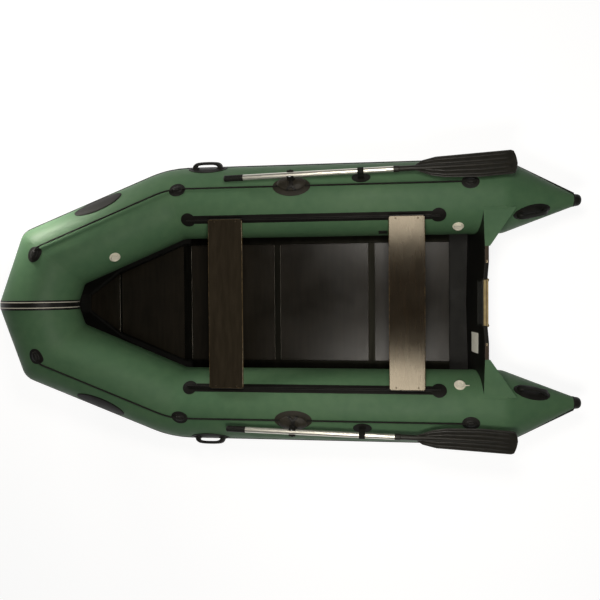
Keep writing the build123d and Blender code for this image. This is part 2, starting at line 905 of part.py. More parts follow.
with BuildPart() as oar_blade:
    with BuildSketch(oar_flat.offset(-blade_thickness / 2)) as blade_shape:
        with BuildLine():
            Polyline(*[(blade_joint_reach + x, y) for x, y in blade_outline], close=True)
        make_face()
        fillet(blade_shape.vertices().group_by(Axis.X)[-1], radius=blade_corner)
    extrude(amount=blade_thickness)
    with BuildSketch(oar_across.offset(blade_joint_reach)):
        Circle(blade_neck_radius)
    extrude(amount=blade_neck_length)
    with BuildSketch(oar_across.offset(blade_joint_reach + blade_neck_length)):
        Circle(blade_neck_radius)
    with BuildSketch(oar_across.offset(blade_joint_reach + blade_length - blade_spine_end_gap)):
        Ellipse(blade_spine_half_width, blade_thickness / 2 + blade_spine_stand)
    loft(ruled=True)

# Clip that holds the stowed oar, between the rowlock and the stern ring of the grab line:
# its mouth faces outboard, along the blade's swing.
stern_ring_x = transom_x + stern_ring_inset
clip_reach = clip_share * (rowlock_x - stern_ring_x)
clip_centre = oar_centre + oar_aft * clip_reach
clip_offset = Vector(0, clip_centre.Y - tube_axis_y, clip_centre.Z - tube_radius)
clip_angle = math.degrees(math.atan2(clip_offset.Y, clip_offset.Z))
clip_opening = shaft_radius + clip_gap
clip_outer = clip_opening + clip_wall


def clip_oval():
    """Oval foot of the oar clip."""
    Ellipse(clip_foot_length / 2, clip_foot_width / 2)


clip_stem_height = clip_offset.length - tube_radius - clip_outer

with BuildPart() as oar_clip:
    clip_face = face_on_side(clip_centre.X, clip_angle)
    add(glued_patch(clip_face, clip_oval, side_patch_skin, side_skin))
    with BuildSketch(oar_across.offset(clip_reach - clip_length / 2)):
        with Locations(((clip_jaw - clip_outer) / 2, 0)):
            Rectangle(clip_jaw + clip_outer, 2 * clip_outer)
        Circle(clip_opening, mode=Mode.SUBTRACT)
        with Locations((clip_outer, 0)):
            Rectangle(2 * clip_outer, 2 * clip_opening, mode=Mode.SUBTRACT)
    extrude(amount=clip_length)
    with BuildSketch(clip_face.offset(-sink)):
        Rectangle(clip_length, clip_stem_width)
    extrude(amount=sink + clip_stem_height + clip_back)
    add(side_skin, mode=Mode.SUBTRACT)

# ---------------------------------------------------------------- grab line
rope_corners = line_along_hull(rope_angle, tube_radius + rope_lift)
front_facet = (nose - corner).normalized()
rope_start = Vector(stern_ring_x, rope_corners[0].Y, rope_corners[0].Z)
rope_end = rope_corners[2] + front_facet * bow_ring_reach
rope_route = [
    rope_start - Vector(rope_tail, 0, 0),
    rope_corners[1],
    rope_corners[2],
    rope_end + front_facet * rope_tail,
]


def ring_oval():
    """Oval foot of a grab-line ring."""
    Ellipse(ring_foot_length / 2, ring_foot_width / 2)


def rope_ring(point, along, outward, outer, inner):
    """Oval foot and drilled saddle that hold the grab line at a point."""
    foot = Plane(origin=point - outward * rope_lift, x_dir=along, z_dir=outward)
    with BuildPart() as ring:
        add(glued_patch(foot, ring_oval, outer, inner))
        with BuildSketch(foot):
            Rectangle(ring_saddle_length, 3 * rope_radius + 2 * ring_saddle_wall)
        extrude(amount=rope_lift + rope_radius + ring_saddle_wall)
        with BuildSketch(Plane(origin=point, x_dir=outward, z_dir=along)):
            Circle(rope_radius + ring_clearance)
        extrude(amount=ring_foot_length, both=True, mode=Mode.SUBTRACT)
        add(inner, mode=Mode.SUBTRACT)
    return ring.part


shoulder_ring_point = Vector(shoulder_x - shoulder_ring_setback, rope_start.Y, rope_start.Z)
side_outward = outward_from(cone_base, shoulder, rope_start)
front_outward = outward_from(corner, nose, rope_end)

with BuildPart() as lifeline_rings:
    for point in (rope_start, shoulder_ring_point):
        add(rope_ring(point, Vector(1, 0, 0), side_outward, side_patch_skin, side_skin))
    add(rope_ring(rope_end, front_facet, front_outward, bow_patch_skin, bow_skin))

with BuildPart() as lifeline:
    with BuildLine() as rope_path:
        FilletPolyline(*rope_route, radius=[shoulder_rope_radius, corner_rope_radius])
    with BuildSketch(Plane(origin=rope_path.line @ 0, z_dir=rope_path.line % 0)):
        Circle(rope_radius)
    sweep()
    add(rowlock_base.part, mode=Mode.SUBTRACT)

print("grab line arc radii", shoulder_rope_radius, corner_rope_radius)

# ---------------------------------------------------------------- handles
def handle_arch():
    """Side outline of the moulded grip: a low arch on two splayed feet."""
    reach = handle_span / 2
    foot = reach + handle_foot_spread
    inner_foot = foot - handle_foot_width
    crown = reach + handle_shoulder_spread
    inner_crown = crown - handle_bar_thickness
    outside = [(foot, -sink), (foot, handle_foot_height), (crown, handle_height)]
    inside = [
        (inner_foot, -sink),
        (inner_foot, handle_foot_height),
        (inner_crown, handle_height - handle_bar_thickness),
    ]
    outside += [(-x, y) for x, y in reversed(outside)]
    inside += [(-x, y) for x, y in reversed(inside)]
    return outside + inside[::-1]


def handle_on(face, patch_length, patch_width, outer, inner):
    """Oval patch with a moulded carrying grip that arches over it."""

    def oval():
        Ellipse(patch_length / 2, patch_width / 2)

    with BuildPart() as handle:
        add(glued_patch(face, oval, outer, inner))
        side = Plane(origin=face.origin, x_dir=face.x_dir, z_dir=face.x_dir.cross(face.z_dir))
        with BuildSketch(side):
            with BuildLine():
                Polyline(*handle_arch(), close=True)
            make_face()
        extrude(amount=handle_bar_width / 2, both=True)
        add(inner, mode=Mode.SUBTRACT)
    return handle.part


side_handle_x = shoulder_x - side_handle_setback
side_handle_drop = strake_height / 2 + side_patch_gap + side_patch_width / 2

side_handle = handle_on(
    face_on_side(side_handle_x, 90 - angle_on_tube(side_handle_drop)),
    side_patch_length,
    side_patch_width,
    side_patch_skin,
    side_skin,
)

aft_share = aft_handle_reach / cone_length
aft_turn = math.radians(aft_handle_angle)
aft_spoke = Vector(0, math.sin(aft_turn), math.cos(aft_turn))
aft_around = Vector(0, math.cos(aft_turn), -math.sin(aft_turn))
aft_centre = cone_base + (cone_tip - cone_base) * aft_share
aft_radius = tube_radius + (cone_tip_radius - tube_radius) * aft_share
cone_line = (cone_base + aft_spoke * tube_radius) - (cone_tip + aft_spoke * cone_tip_radius)
aft_face = Plane(
    origin=aft_centre + aft_spoke * aft_radius, x_dir=cone_line, z_dir=cone_line.cross(aft_around)
)
aft_handle = handle_on(
    aft_face, aft_patch_length, aft_patch_width, cone_patch_skin, cone_skin
)

# ---------------------------------------------------------------- valves
def valve_on(face, skin):
    """Flanged inflation valve with its screw cap."""
    with BuildPart() as valve:
        with BuildSketch(face.offset(-sink)):
            Circle(valve_flange_radius)
        extrude(amount=sink + valve_flange_thickness)
        with BuildSketch(face.offset(valve_flange_thickness)):
            Circle(valve_cap_radius)
        extrude(amount=valve_height - valve_flange_thickness)
        add(skin, mode=Mode.SUBTRACT)
    return valve.part


bow_valve = valve_on(face_on_run(shoulder, corner, bow_valve_reach, bow_valve_angle), bow_skin)
stern_valve_starboard = valve_on(
    face_on_side(transom_x + starboard_valve_inset, starboard_valve_angle), side_skin
)
stern_valve_port = valve_on(
    face_on_side(transom_x + port_valve_inset, port_valve_angle), side_skin
)


# ---------------------------------------------------------------- bare patches and labels
def name_oval():
    """Oval of the bow's name patch, left bare."""
    Ellipse(name_patch_length / 2, name_patch_width / 2)


name_face = face_on_run(shoulder, corner, name_patch_reach, name_patch_angle)
name_patch = glued_patch(name_face, name_oval, bow_patch_skin, bow_skin)

plate_offset = tube_axis_y - tube_radius - plate_gap - plate_width / 2
plate_height = notch_top - pad_drop - pad_height - plate_drop - plate_length / 2

with BuildPart() as capacity_plate:
    with BuildSketch(transom_plane):
        with Locations((-plate_offset, plate_height)):
            RectangleRounded(plate_width, plate_length, plate_corner)
    extrude(amount=-label_thickness)


def label_outline():
    """Small plain label on the inside of the tube."""
    RectangleRounded(label_length, label_width, label_corner)


label_face = face_on_side(transom_x + label_inset, label_angle)
tube_label = glued_patch(
    label_face, label_outline, side_run(tube_radius + label_thickness), side_skin
)

# ---------------------------------------------------------------- tow eye
eye_turn = math.radians(tow_eye_angle)
eye_out = Vector(math.sin(eye_turn), 0, math.cos(eye_turn))
nose_half_width = bow_x - nose_x
eye_foot = nose + Vector(nose_half_width * eye_out.X, 0, tube_radius * eye_out.Z)
eye_reach = tow_eye_radius + tow_eye_stand
eye_centre = eye_foot + eye_out * eye_reach

with BuildPart() as tow_eye:
    with BuildSketch(Plane(origin=eye_foot - eye_out * sink, z_dir=eye_out)):
        Circle(tow_eye_radius + tow_eye_foot_margin)
    extrude(amount=sink + tow_eye_foot_height)
    with BuildSketch(Plane(origin=eye_foot, x_dir=eye_out, z_dir=(0, 1, 0))):
        with Locations(((eye_reach - sink) / 2, 0)):
            Rectangle(eye_reach + sink, 2 * tow_eye_neck_share * tow_eye_radius)
        with Locations((eye_reach, 0)):
            Circle(tow_eye_radius)
    extrude(amount=tow_eye_thickness / 2, both=True)
    for body in (hull_tubes.part, bow_band.part, bottom_skin.part):
        add(body, mode=Mode.SUBTRACT)
    with BuildSketch(Plane(origin=eye_centre, x_dir=eye_out, z_dir=(0, 1, 0))):
        Circle(tow_eye_bore)
    extrude(amount=tow_eye_thickness, both=True, mode=Mode.SUBTRACT)

print("tow eye bore centre", eye_centre)
print("bench bottom", bench_bottom, "rail bead", bead_y, bead_z)
print("rowlock pin foot", pin_foot, "pin axis", pin_axis, "oar centre", oar_centre)
print("notch top", on_transom(0, transom_notch_height))

# ---------------------------------------------------------------- files
write_pair(side_tube.part, "side_tube")
write_pair(bow_tube.part, "bow_tube")
write_both(cone_cap.part, "cone_caps")
write(bottom_skin.part, "bottom_skin")
write(keel_strip.part, "keel_strip")
write(bow_band.part, "bow_band")
write_pair(rub_strake.part, "rub_strake")
write(transom.part, "transom")
write(transom_inner_pad.part, "transom_inner_pad")
write(transom_clamp_plate.part, "transom_clamp_plate")
write(drain_plug.part, "drain_plug")
write_pair(transom_gusset.part, "transom_gusset")
for number, board in enumerate(floor_boards, start=1):
    write(board, f"floor_board_{number}")
for number, joint in enumerate(floor_joints, start=1):
    write(joint, f"floor_joint_{number}")
write_pair(floor_stringer.part, "floor_stringer")
write_pair(bench_rail.part, "bench_rail")
write(bench(front_bench_x), "front_bench")
write(bench(rear_bench_x), "rear_bench")
write(bench_sliders(front_bench_x), "front_bench_sliders")
write(bench_sliders(rear_bench_x), "rear_bench_sliders")
write_pair(rowlock_base.part, "rowlock_base")
write_pair(rowlock_fork.part, "rowlock_fork")
write_pair(oar_shaft.part, "oar_shaft")
write_pair(oar_grip.part, "oar_grip")
write_pair(oar_blade.part, "oar_blade")
write_pair(oar_clip.part, "oar_clip")
write_pair(lifeline.part, "lifeline")
write_pair(lifeline_rings.part, "lifeline_rings")
write_pair(side_handle, "side_handle")
write_pair(aft_handle, "aft_handle")
write(mirror(bow_valve, about=Plane.XZ), "bow_valve")
write(stern_valve_port, "stern_valve_port")
write(mirror(stern_valve_starboard, about=Plane.XZ), "stern_valve_starboard")
write_both(name_patch, "name_patches")
with BuildPart() as label_plates:
    add(capacity_plate.part)
    add(mirror(tube_label, about=Plane.XZ, mode=Mode.PRIVATE))
write(label_plates.part, "label_plates")
write(tow_eye.part, "tow_eye")
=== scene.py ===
# %% [markdown]
# # An inflatable motor boat, dressed piece by piece
#
# The boat is two fabric tubes blown up hard and joined at the bow, with a plywood transom,
# a sectional plywood floor, two sliding benches and two oars. An engineering model gives
# every size and place. This script gives each of its parts a surface worth looking at.
# All lengths are in metres: +X points to the bow, +Y to port and +Z up, and the boat
# stands on the ground at height zero.

# %% Load the engineering model
import math

import bmesh
import bpy
from mathutils import Matrix, Vector, noise


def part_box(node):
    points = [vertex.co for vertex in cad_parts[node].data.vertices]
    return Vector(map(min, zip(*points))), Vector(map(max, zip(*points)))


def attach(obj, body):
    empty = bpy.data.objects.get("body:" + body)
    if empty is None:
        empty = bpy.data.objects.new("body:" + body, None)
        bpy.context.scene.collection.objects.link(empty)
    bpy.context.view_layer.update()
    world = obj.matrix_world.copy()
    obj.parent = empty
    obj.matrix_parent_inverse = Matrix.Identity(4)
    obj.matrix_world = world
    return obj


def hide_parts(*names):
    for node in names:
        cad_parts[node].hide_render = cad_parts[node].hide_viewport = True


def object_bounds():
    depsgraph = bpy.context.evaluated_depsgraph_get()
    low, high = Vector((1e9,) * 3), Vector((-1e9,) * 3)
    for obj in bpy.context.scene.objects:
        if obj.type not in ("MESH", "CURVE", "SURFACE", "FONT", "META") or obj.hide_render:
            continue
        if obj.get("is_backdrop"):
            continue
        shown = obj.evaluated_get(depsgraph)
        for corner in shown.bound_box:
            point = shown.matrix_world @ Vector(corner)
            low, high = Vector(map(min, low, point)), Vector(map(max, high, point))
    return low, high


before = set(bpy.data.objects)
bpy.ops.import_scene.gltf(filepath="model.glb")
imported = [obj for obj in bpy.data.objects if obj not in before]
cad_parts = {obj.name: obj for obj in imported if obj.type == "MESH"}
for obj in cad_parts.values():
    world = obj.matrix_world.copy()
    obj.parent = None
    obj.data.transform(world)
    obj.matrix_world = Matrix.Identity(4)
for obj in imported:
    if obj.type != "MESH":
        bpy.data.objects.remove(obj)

cad_low, cad_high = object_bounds()
print("engineering model", [round(c, 3) for c in cad_high - cad_low], "metres")

# %% [markdown]
# ## The tube's own geometry
#
# An inflatable hull is made of straight lengths of tube, cut at an angle and welded edge
# to edge. So the whole hull follows from one radius and the five points where its axis
# bends: cone tip, cone base, shoulder, corner and nose.

# %% Measure the tube and name its bends
mm = 0.001
ahead = Vector((1, 0, 0))
to_port = Vector((0, 1, 0))
up = Vector((0, 0, 1))
side_low, side_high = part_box("side_tube_port")
cap_low, cap_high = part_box("cone_caps")
tube_radius = side_high.z / 2
tube_y = side_high.y - tube_radius
cone_tip_radius = (cap_high.z - cap_low.z) / 2
cone_length = 375 * mm
shoulder_setback = 1001 * mm
corner_setback, corner_y, corner_rise = 305 * mm, 270 * mm, 172.5 * mm
nose_setback, nose_rise = 220.9 * mm, 200 * mm
cone_tip = Vector((side_low.x, cap_high.y - cone_tip_radius, (cap_high.z + cap_low.z) / 2))
cone_base = Vector((cone_tip.x + cone_length, tube_y, tube_radius))
shoulder = Vector((cad_high.x - shoulder_setback, tube_y, tube_radius))
corner = Vector((cad_high.x - corner_setback, corner_y, tube_radius + corner_rise))
nose = Vector((cad_high.x - nose_setback, 0, tube_radius + nose_rise))
bends = [cone_tip, cone_base, shoulder, corner, nose]
print("tube radius", round(tube_radius, 4), "axis at", round(tube_y, 4))

# %% [markdown]
# ## Seams and soft bends
#
# Two tubes of one radius meet in the plane that halves their bend, so one plane at each
# bend gives the whole mitre. Inflated cloth doesn't turn there as sharply as sheet metal
# would: it eases round the bend, most of all on the outboard side, where it has the
# longest way. A short curve between the two straights, with the seam as its middle
# control point, draws that.

# %% Planes of the seams and the curve round a bend
axes = [(after - before).normalized() for before, after in zip(bends, bends[1:])]
axes.append(Vector((-axes[-1].x, axes[-1].y, -axes[-1].z)))  # past the nose, on the other side
seam_normals = [ahead, ahead, axes[1] + axes[2], axes[2] + axes[3], to_port]
bend_reaches = [(0, 0), (20, 40), (15, 125), (15, 45), (10, 40)]  # inboard and outboard, in mm


def meet(point, direction, origin, normal):
    """Where a line meets a plane."""
    return point + direction * ((origin - point).dot(normal) / direction.dot(normal))


def bend_reach(bend, angle):
    """How far from a bend its easing starts: further on the outboard side."""
    inner, outer = bend_reaches[bend]
    return (inner + (outer - inner) * (1 + math.sin(math.radians(angle))) / 2) * mm


def eased(seam, into, away, reach, turn):
    """Place on a bend: turn runs from 0 to 1 on its curve and past those on the straights."""
    start, end = seam - into * reach, seam + away * reach
    if turn < 0:
        return start + into * (2 * turn * reach)
    if turn > 1:
        return end + away * (2 * (turn - 1) * reach)
    return start * (1 - turn) ** 2 + seam * (2 * turn * (1 - turn)) + end * turn**2


bend_turns = [math.degrees(before.angle(after)) for before, after in zip(axes, axes[1:])]
print("turn at each bend in degrees", [round(turn, 1) for turn in bend_turns])

# %% [markdown]
# ## Places on the tube
#
# Everything glued on the hull is placed by a run of tube, a distance along it and an
# angle from the top. A flat pattern can then be wrapped round the tube, as the maker
# does with a patch, and a patch that reaches over a bend turns with it.

# %% Place things on a run of tube
def frame_at(origin, x_dir, z_dir):
    """Matrix that sets x and z along two directions at a point."""
    z = z_dir.normalized()
    x = (x_dir - z * x_dir.dot(z)).normalized()
    matrix = Matrix((x, z.cross(x), z)).transposed().to_4x4()
    matrix.translation = origin
    return matrix


class Run:
    """One straight length of tube. Angles are in degrees from the top, outboard."""

    def __init__(self, start, end):
        self.start = start
        self.segment = bends.index(start)
        self.axis = (end - start).normalized()
        self.outboard = up.cross(self.axis).normalized()
        self.upward = self.axis.cross(self.outboard)

    def outward(self, angle):
        turn = math.radians(angle)
        return self.outboard * math.sin(turn) + self.upward * math.cos(turn)

    def skin(self, along, angle, lift=0.0):
        return self.start + self.axis * along + self.outward(angle) * (tube_radius + lift)

    def frame(self, along, angle, lift=0.0):
        return frame_at(self.skin(along, angle, lift), self.axis, self.outward(angle))

    def soft(self, along, angle, lift):
        """Place proud of the skin, that turns with it where a bend is near."""
        point = self.skin(along, angle, lift)
        for bend, side in ((self.segment, 1), (self.segment + 1, -1)):
            seam = meet(point, self.axis, bends[bend], seam_normals[bend])
            short_of_seam = side * (point - seam).dot(self.axis)
            reach = bend_reach(bend, angle)
            if short_of_seam < reach:
                turn = 0.5 + side * 0.5 * short_of_seam / reach
                return eased(seam, axes[bend - 1], axes[bend], reach, turn)
        return point

    def wrap(self, along, angle):
        """Function that bends a flat pattern (u along, v outboard, w proud) round the tube."""
        return lambda u, v, w: self.soft(along + u, angle + math.degrees(v / tube_radius), w)

    def locate(self, point):
        """Distance along and angle of a place near the tube."""
        spoke = point - self.start
        turn = math.atan2(spoke.dot(self.outboard), spoke.dot(self.upward))
        return spoke.dot(self.axis), math.degrees(turn)


side_run = Run(cone_base, shoulder)
bow_run = Run(shoulder, corner)
front_run = Run(corner, nose)


def on_side(x):
    """Distance along the straight side of a place along the boat."""
    return x - cone_base.x


print("straight side", round(on_side(shoulder.x), 3), "m long")

# %% [markdown]
# ## Skin over rings
#
# Nearly every piece here is a stack of rings joined by quads: a tube, a plate with a
# rounded edge, a cap, a rope. Modifiers could make some of them, but one loft helper
# makes them all, and also writes a UV map in real metres, so a weave or a braid keeps its
# size on every piece.

# %% Loft a stack of rings
def loft(rings, closed=True, caps=(True, True), flats=None):
    """Points, faces and face-corner UVs of a skin over rings with equal point counts."""
    count = len(rings[0])
    spans = count if closed else count - 1
    across = []
    for ring in rings:
        lengths = [0.0]
        for column in range(spans):
            lengths.append(lengths[-1] + (ring[(column + 1) % count] - ring[column]).length)
        across.append(lengths)
    down = [[0.0] * (count + 1)]
    for before, ring in zip(rings, rings[1:]):
        steps = [(ring[c % count] - before[c % count]).length for c in range(count + 1)]
        down.append([last + step for last, step in zip(down[-1], steps)])
    faces, uvs = [], []
    for row in range(len(rings) - 1):
        for column in range(spans):
            corners = [(row, column), (row, column + 1), (row + 1, column + 1), (row + 1, column)]
            faces.append([r * count + c % count for r, c in corners])
            if flats:
                uvs.append([flats[r][c % count] for r, c in corners])
            else:
                uvs.append([(across[r][c], down[r][c]) for r, c in corners])
    for row, wanted in ((0, caps[0]), (len(rings) - 1, caps[1])):
        if wanted:
            ring = rings[row]
            first = (ring[1] - ring[0]).normalized()
            second = first.cross(ring[count // 3] - ring[0]).cross(first).normalized()
            order = list(range(count)) if row else list(reversed(range(count)))
            faces.append([row * count + c for c in order])
            if flats:
                uvs.append([flats[row][c] for c in order])
            else:
                spokes = [ring[c] - ring[0] for c in order]
                uvs.append([(first.dot(spoke), second.dot(spoke)) for spoke in spokes])
    return [point for ring in rings for point in ring], faces, uvs


# %% [markdown]
# ## Outlines
#
# A plate, a patch or a boss starts as a flat outline, a list of points that runs
# anticlockwise. Blender's curves could draw it, but a plain list can be inset, shrunk and
# shifted by short functions, and it keeps its count of points, as the loft needs.

# %% Draw, inset and shift outlines
def inset(outline, distance):
    """The outline moved in by a distance; outlines run anticlockwise."""
    moved = []
    for before, here, after in zip(outline[-1:] + outline[:-1], outline, outline[1:] + outline[:1]):
        into = (Vector(here) - Vector(before)).normalized()
        away = (Vector(after) - Vector(here)).normalized()
        normal = Vector((-into.y - away.y, into.x + away.x))
        normal *= 2 / max(normal.length_squared, 0.5)
        moved.append((here[0] + normal.x * distance, here[1] + normal.y * distance))
    return moved


def toward_middle(outline, share):
    """The outline shrunk to a share of its size about its middle."""
    middle_x = (min(x for x, _ in outline) + max(x for x, _ in outline)) / 2
    middle_y = (min(y for _, y in outline) + max(y for _, y in outline)) / 2
    return [
        (middle_x + (x - middle_x) * share, middle_y + (y - middle_y) * share) for x, y in outline
    ]


def oval(length, width, count=48):
    """Points of an ellipse."""
    turns = [math.tau * index / count for index in range(count)]
    return [(length / 2 * math.cos(turn), width / 2 * math.sin(turn)) for turn in turns]


def moved(outline, u, v):
    """The outline shifted in its plane."""
    return [(x + u, y + v) for x, y in outline]


def in_mm(pairs):
    """Pairs written in millimetres, in metres."""
    return [(first * mm, second * mm) for first, second in pairs]


def rounded_box(length, width, radius, steps=6):
    """Points of a rectangle with round corners."""
    points = []
    for quarter, (sx, sy) in enumerate(((1, 1), (-1, 1), (-1, -1), (1, -1))):
        for step in range(steps + 1):
            turn = math.pi / 2 * (quarter + step / steps)
            x = sx * (length / 2 - radius) + radius * math.cos(turn)
            points.append((x, sy * (width / 2 - radius) + radius * math.sin(turn)))
    return points


print("points in an oval", len(oval(1, 1)), "and in a rounded box", len(rounded_box(1, 1, 0.1)))

# %% [markdown]
# ## Plates, patches and turned solids
#
# A contour raises an outline in steps, each inset a little, so a few rings round its rim.
# A slab is a contour with both rims rounded, and a glued patch is one whose foot is just
# under the skin. A turned solid runs a profile round an axis, as on a lathe. A placing
# function carries each of them onto the tube, the transom or an oar.

# %% Gather parts into a shape
class Shape:
    """Points, faces and UVs gathered for one piece."""

    def __init__(self):
        self.points, self.faces, self.uvs = [], [], []

    def add(self, part):
        points, faces, uvs = part
        base = len(self.points)
        self.points += points
        self.faces += [[base + index for index in face] for face in faces]
        self.uvs += uvs
        return self

    def join(self, other):
        """Add another shape to this one."""
        return self.add((other.points, other.faces, other.uvs))

    def mirrored(self):
        """The same shape on the other side of the boat."""
        twin = Shape()
        twin.points = [Vector((p.x, -p.y, p.z)) for p in self.points]
        twin.faces = [list(reversed(face)) for face in self.faces]
        twin.uvs = [list(reversed(corners)) for corners in self.uvs]
        return twin


# %% Raise outlines and turn profiles
def matrix_place(matrix):
    """Placing function of a flat frame."""
    return lambda u, v, w: matrix @ Vector((u, v, w))


def contour(place, outline, steps, crown=(), base=False):
    """Solid whose section is the outline, inset and raised by (inset, height) steps."""
    flats = [(inset(outline, distance), height) for distance, height in steps]
    flats += [(toward_middle(flats[-1][0], share), height) for share, height in crown]
    rings = [[place(u, v, height) for u, v in flat] for flat, height in flats]
    return loft(rings, True, (base, True), [flat for flat, _ in flats])


def slab(place, outline, low, high, edge):
    """Plate from one height to another with both rims rounded."""
    soft = edge * 0.3
    steps = [(edge, low), (soft, low + soft), (0, low + edge)]
    steps += [(0, high - edge), (soft, high - soft), (edge, high)]
    return contour(place, outline, steps, base=True)


def glued(place, outline, thickness, edge):
    """Patch with a rounded rim whose foot is just under the skin that carries it."""
    steps = [(0, -4 * mm), (0, thickness - edge), (edge * 0.3, thickness - edge * 0.3)]
    crown = [(share, thickness) for share in (0.85, 0.68, 0.5, 0.33, 0.16, 0.02)]
    return contour(place, outline, steps + [(edge, thickness)], crown)


def turned(matrix, profile, count=40):
    """Solid of revolution about a frame's z, from (radius, height) points."""
    rings = []
    for radius, height in profile:
        circle = oval(2 * radius, 2 * radius, count)
        rings.append([matrix @ Vector((u, v, height)) for u, v in circle])
    return loft(rings)


# %% [markdown]
# ## Shading and pieces
#
# Smooth shading averages the faces round a point, which would bend the light on a flat
# board beside its thin rounded rim. Weighting each face by its area keeps the board flat,
# and faces that meet at a sharp angle aren't averaged at all. Each piece then rides on its
# body, hides the engineering nodes that it stands for, and fills a material slot.

# %% Shade a mesh
def set_corner_normals(mesh, sharp):
    """Normals weighted by area, so that a flat face stays flat beside its rounded rim."""
    limit = math.cos(math.radians(sharp))
    weighted = [(face.normal.copy(), face.normal * face.area) for face in mesh.polygons]
    around = [[] for _ in mesh.vertices]
    for face in mesh.polygons:
        for index in face.vertices:
            around[index].append(weighted[face.index])
    normals = []
    for face in mesh.polygons:
        own = weighted[face.index][0]
        for index in face.vertices:
            total = Vector()
            for direction, weight in around[index]:
                if direction.dot(own) > limit:
                    total += weight
            normals.append(total.normalized() if total.length else own)
    mesh.normals_split_custom_set(normals)


# %% Make a piece or a pair
def make_piece(name, shape, material, cad_nodes, body="hull", sharp=38):
    """Turn a shape into a shaded piece that stands for its engineering nodes."""
    mesh = bpy.data.meshes.new(name)
    mesh.from_pydata(shape.points, [], shape.faces)
    layer = mesh.uv_layers.new(name="metres")
    flat = [corner for face in shape.uvs for corner in face]
    for loop, corner in zip(layer.data, flat):
        loop.uv = corner
    cleaner = bmesh.new()
    cleaner.from_mesh(mesh)
    bmesh.ops.recalc_face_normals(cleaner, faces=cleaner.faces)
    cleaner.to_mesh(mesh)
    cleaner.free()
    mesh.materials.append(material)
    mesh.shade_smooth()
    set_corner_normals(mesh, sharp)
    piece = bpy.data.objects.new(name, mesh)
    bpy.context.scene.collection.objects.link(piece)
    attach(piece, body)
    if cad_nodes:
        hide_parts(*cad_nodes)
    print(f"{name}: {len(mesh.polygons)} faces")
    return piece


def make_pair(name, shape, material, cad_nodes, bodies=("hull", "hull"), sharp=38):
    """The port piece and its starboard twin; a node's name ends in its side."""
    halves = (("port", shape, bodies[0]), ("starboard", shape.mirrored(), bodies[1]))
    for side, half, body in halves:
        nodes = [f"{node}_{side}" for node in cad_nodes]
        make_piece(f"{name}_{side}", half, material, nodes, body, sharp)


# %% [markdown]
# ## Colours and nodes
#
# Colours are written as sRGB hex values, the way a paint chart gives them, and turned
# into the linear light that a renderer works in. Materials are built with one helper
# that adds a node, sets its fields and fills or links its sockets. Real patterns are a
# soft noise of a given size in metres, or bands of a given pitch.

# %% Colour and node helpers
def srgb(code):
    """Linear colour of an sRGB hex value."""
    parts = [int(code[index : index + 2], 16) / 255 for index in (0, 2, 4)]
    return [p / 12.92 if p <= 0.04045 else ((p + 0.055) / 1.055) ** 2.4 for p in parts] + [1.0]


def fill(tree, made, sockets):
    """Give each named socket of a node a value or another node's output."""
    for name, value in sockets.items():
        if isinstance(value, bpy.types.NodeSocket):
            tree.links.new(value, made.inputs[name])
        else:
            made.inputs[name].default_value = value


def node(tree, kind, sockets=None, **fields):
    """Add a node, set its fields and fill its sockets."""
    made = tree.nodes.new(kind)
    for field, value in fields.items():
        setattr(made, field, value)
    fill(tree, made, sockets or {})
    return made


def new_material(name, **settings):
    """Material with a Principled shader, its tree and the shader."""
    material = bpy.data.materials.new(name)
    material.use_nodes = True
    shader = material.node_tree.nodes["Principled BSDF"]
    for socket, value in settings.items():
        shader.inputs[socket.replace("_", " ").title().replace("Ior", "IOR")].default_value = value
    return material, material.node_tree, shader


def blotches(tree, vector, size, low, high, detail=3.0):
    """Soft noise of a given blotch size in metres, spread from low to high."""
    sockets = {"Vector": vector, "Scale": 1 / size, "Detail": detail}
    cloud = node(tree, "ShaderNodeTexNoise", sockets).outputs["Fac"]
    spread = {"Value": cloud, "From Min": 0.3, "From Max": 0.7}
    spread |= {"To Min": low, "To Max": high}
    return node(tree, "ShaderNodeMapRange", spread).outputs["Result"]


wave_bands = 3.18  # bands a metre that the wave texture draws at scale 1
print("black rubber in linear light", [round(part, 4) for part in srgb("121210")[:3]])

# %% [markdown]
# ## PVC-coated fabric
#
# The tubes are polyester cloth coated with soft PVC on both sides and run between heated
# rollers, which leaves a satin skin. The cloth shows through only as a very fine grain,
# so what the eye gets is a broad soft highlight, slow changes of tone where hands and
# weather have been, and a slight unevenness that breaks the reflections.

# %% Coated fabric material
thread = 0.9 * mm
drawn_thread = 3 * thread  # one real thread is too fine to show, so three are drawn as one


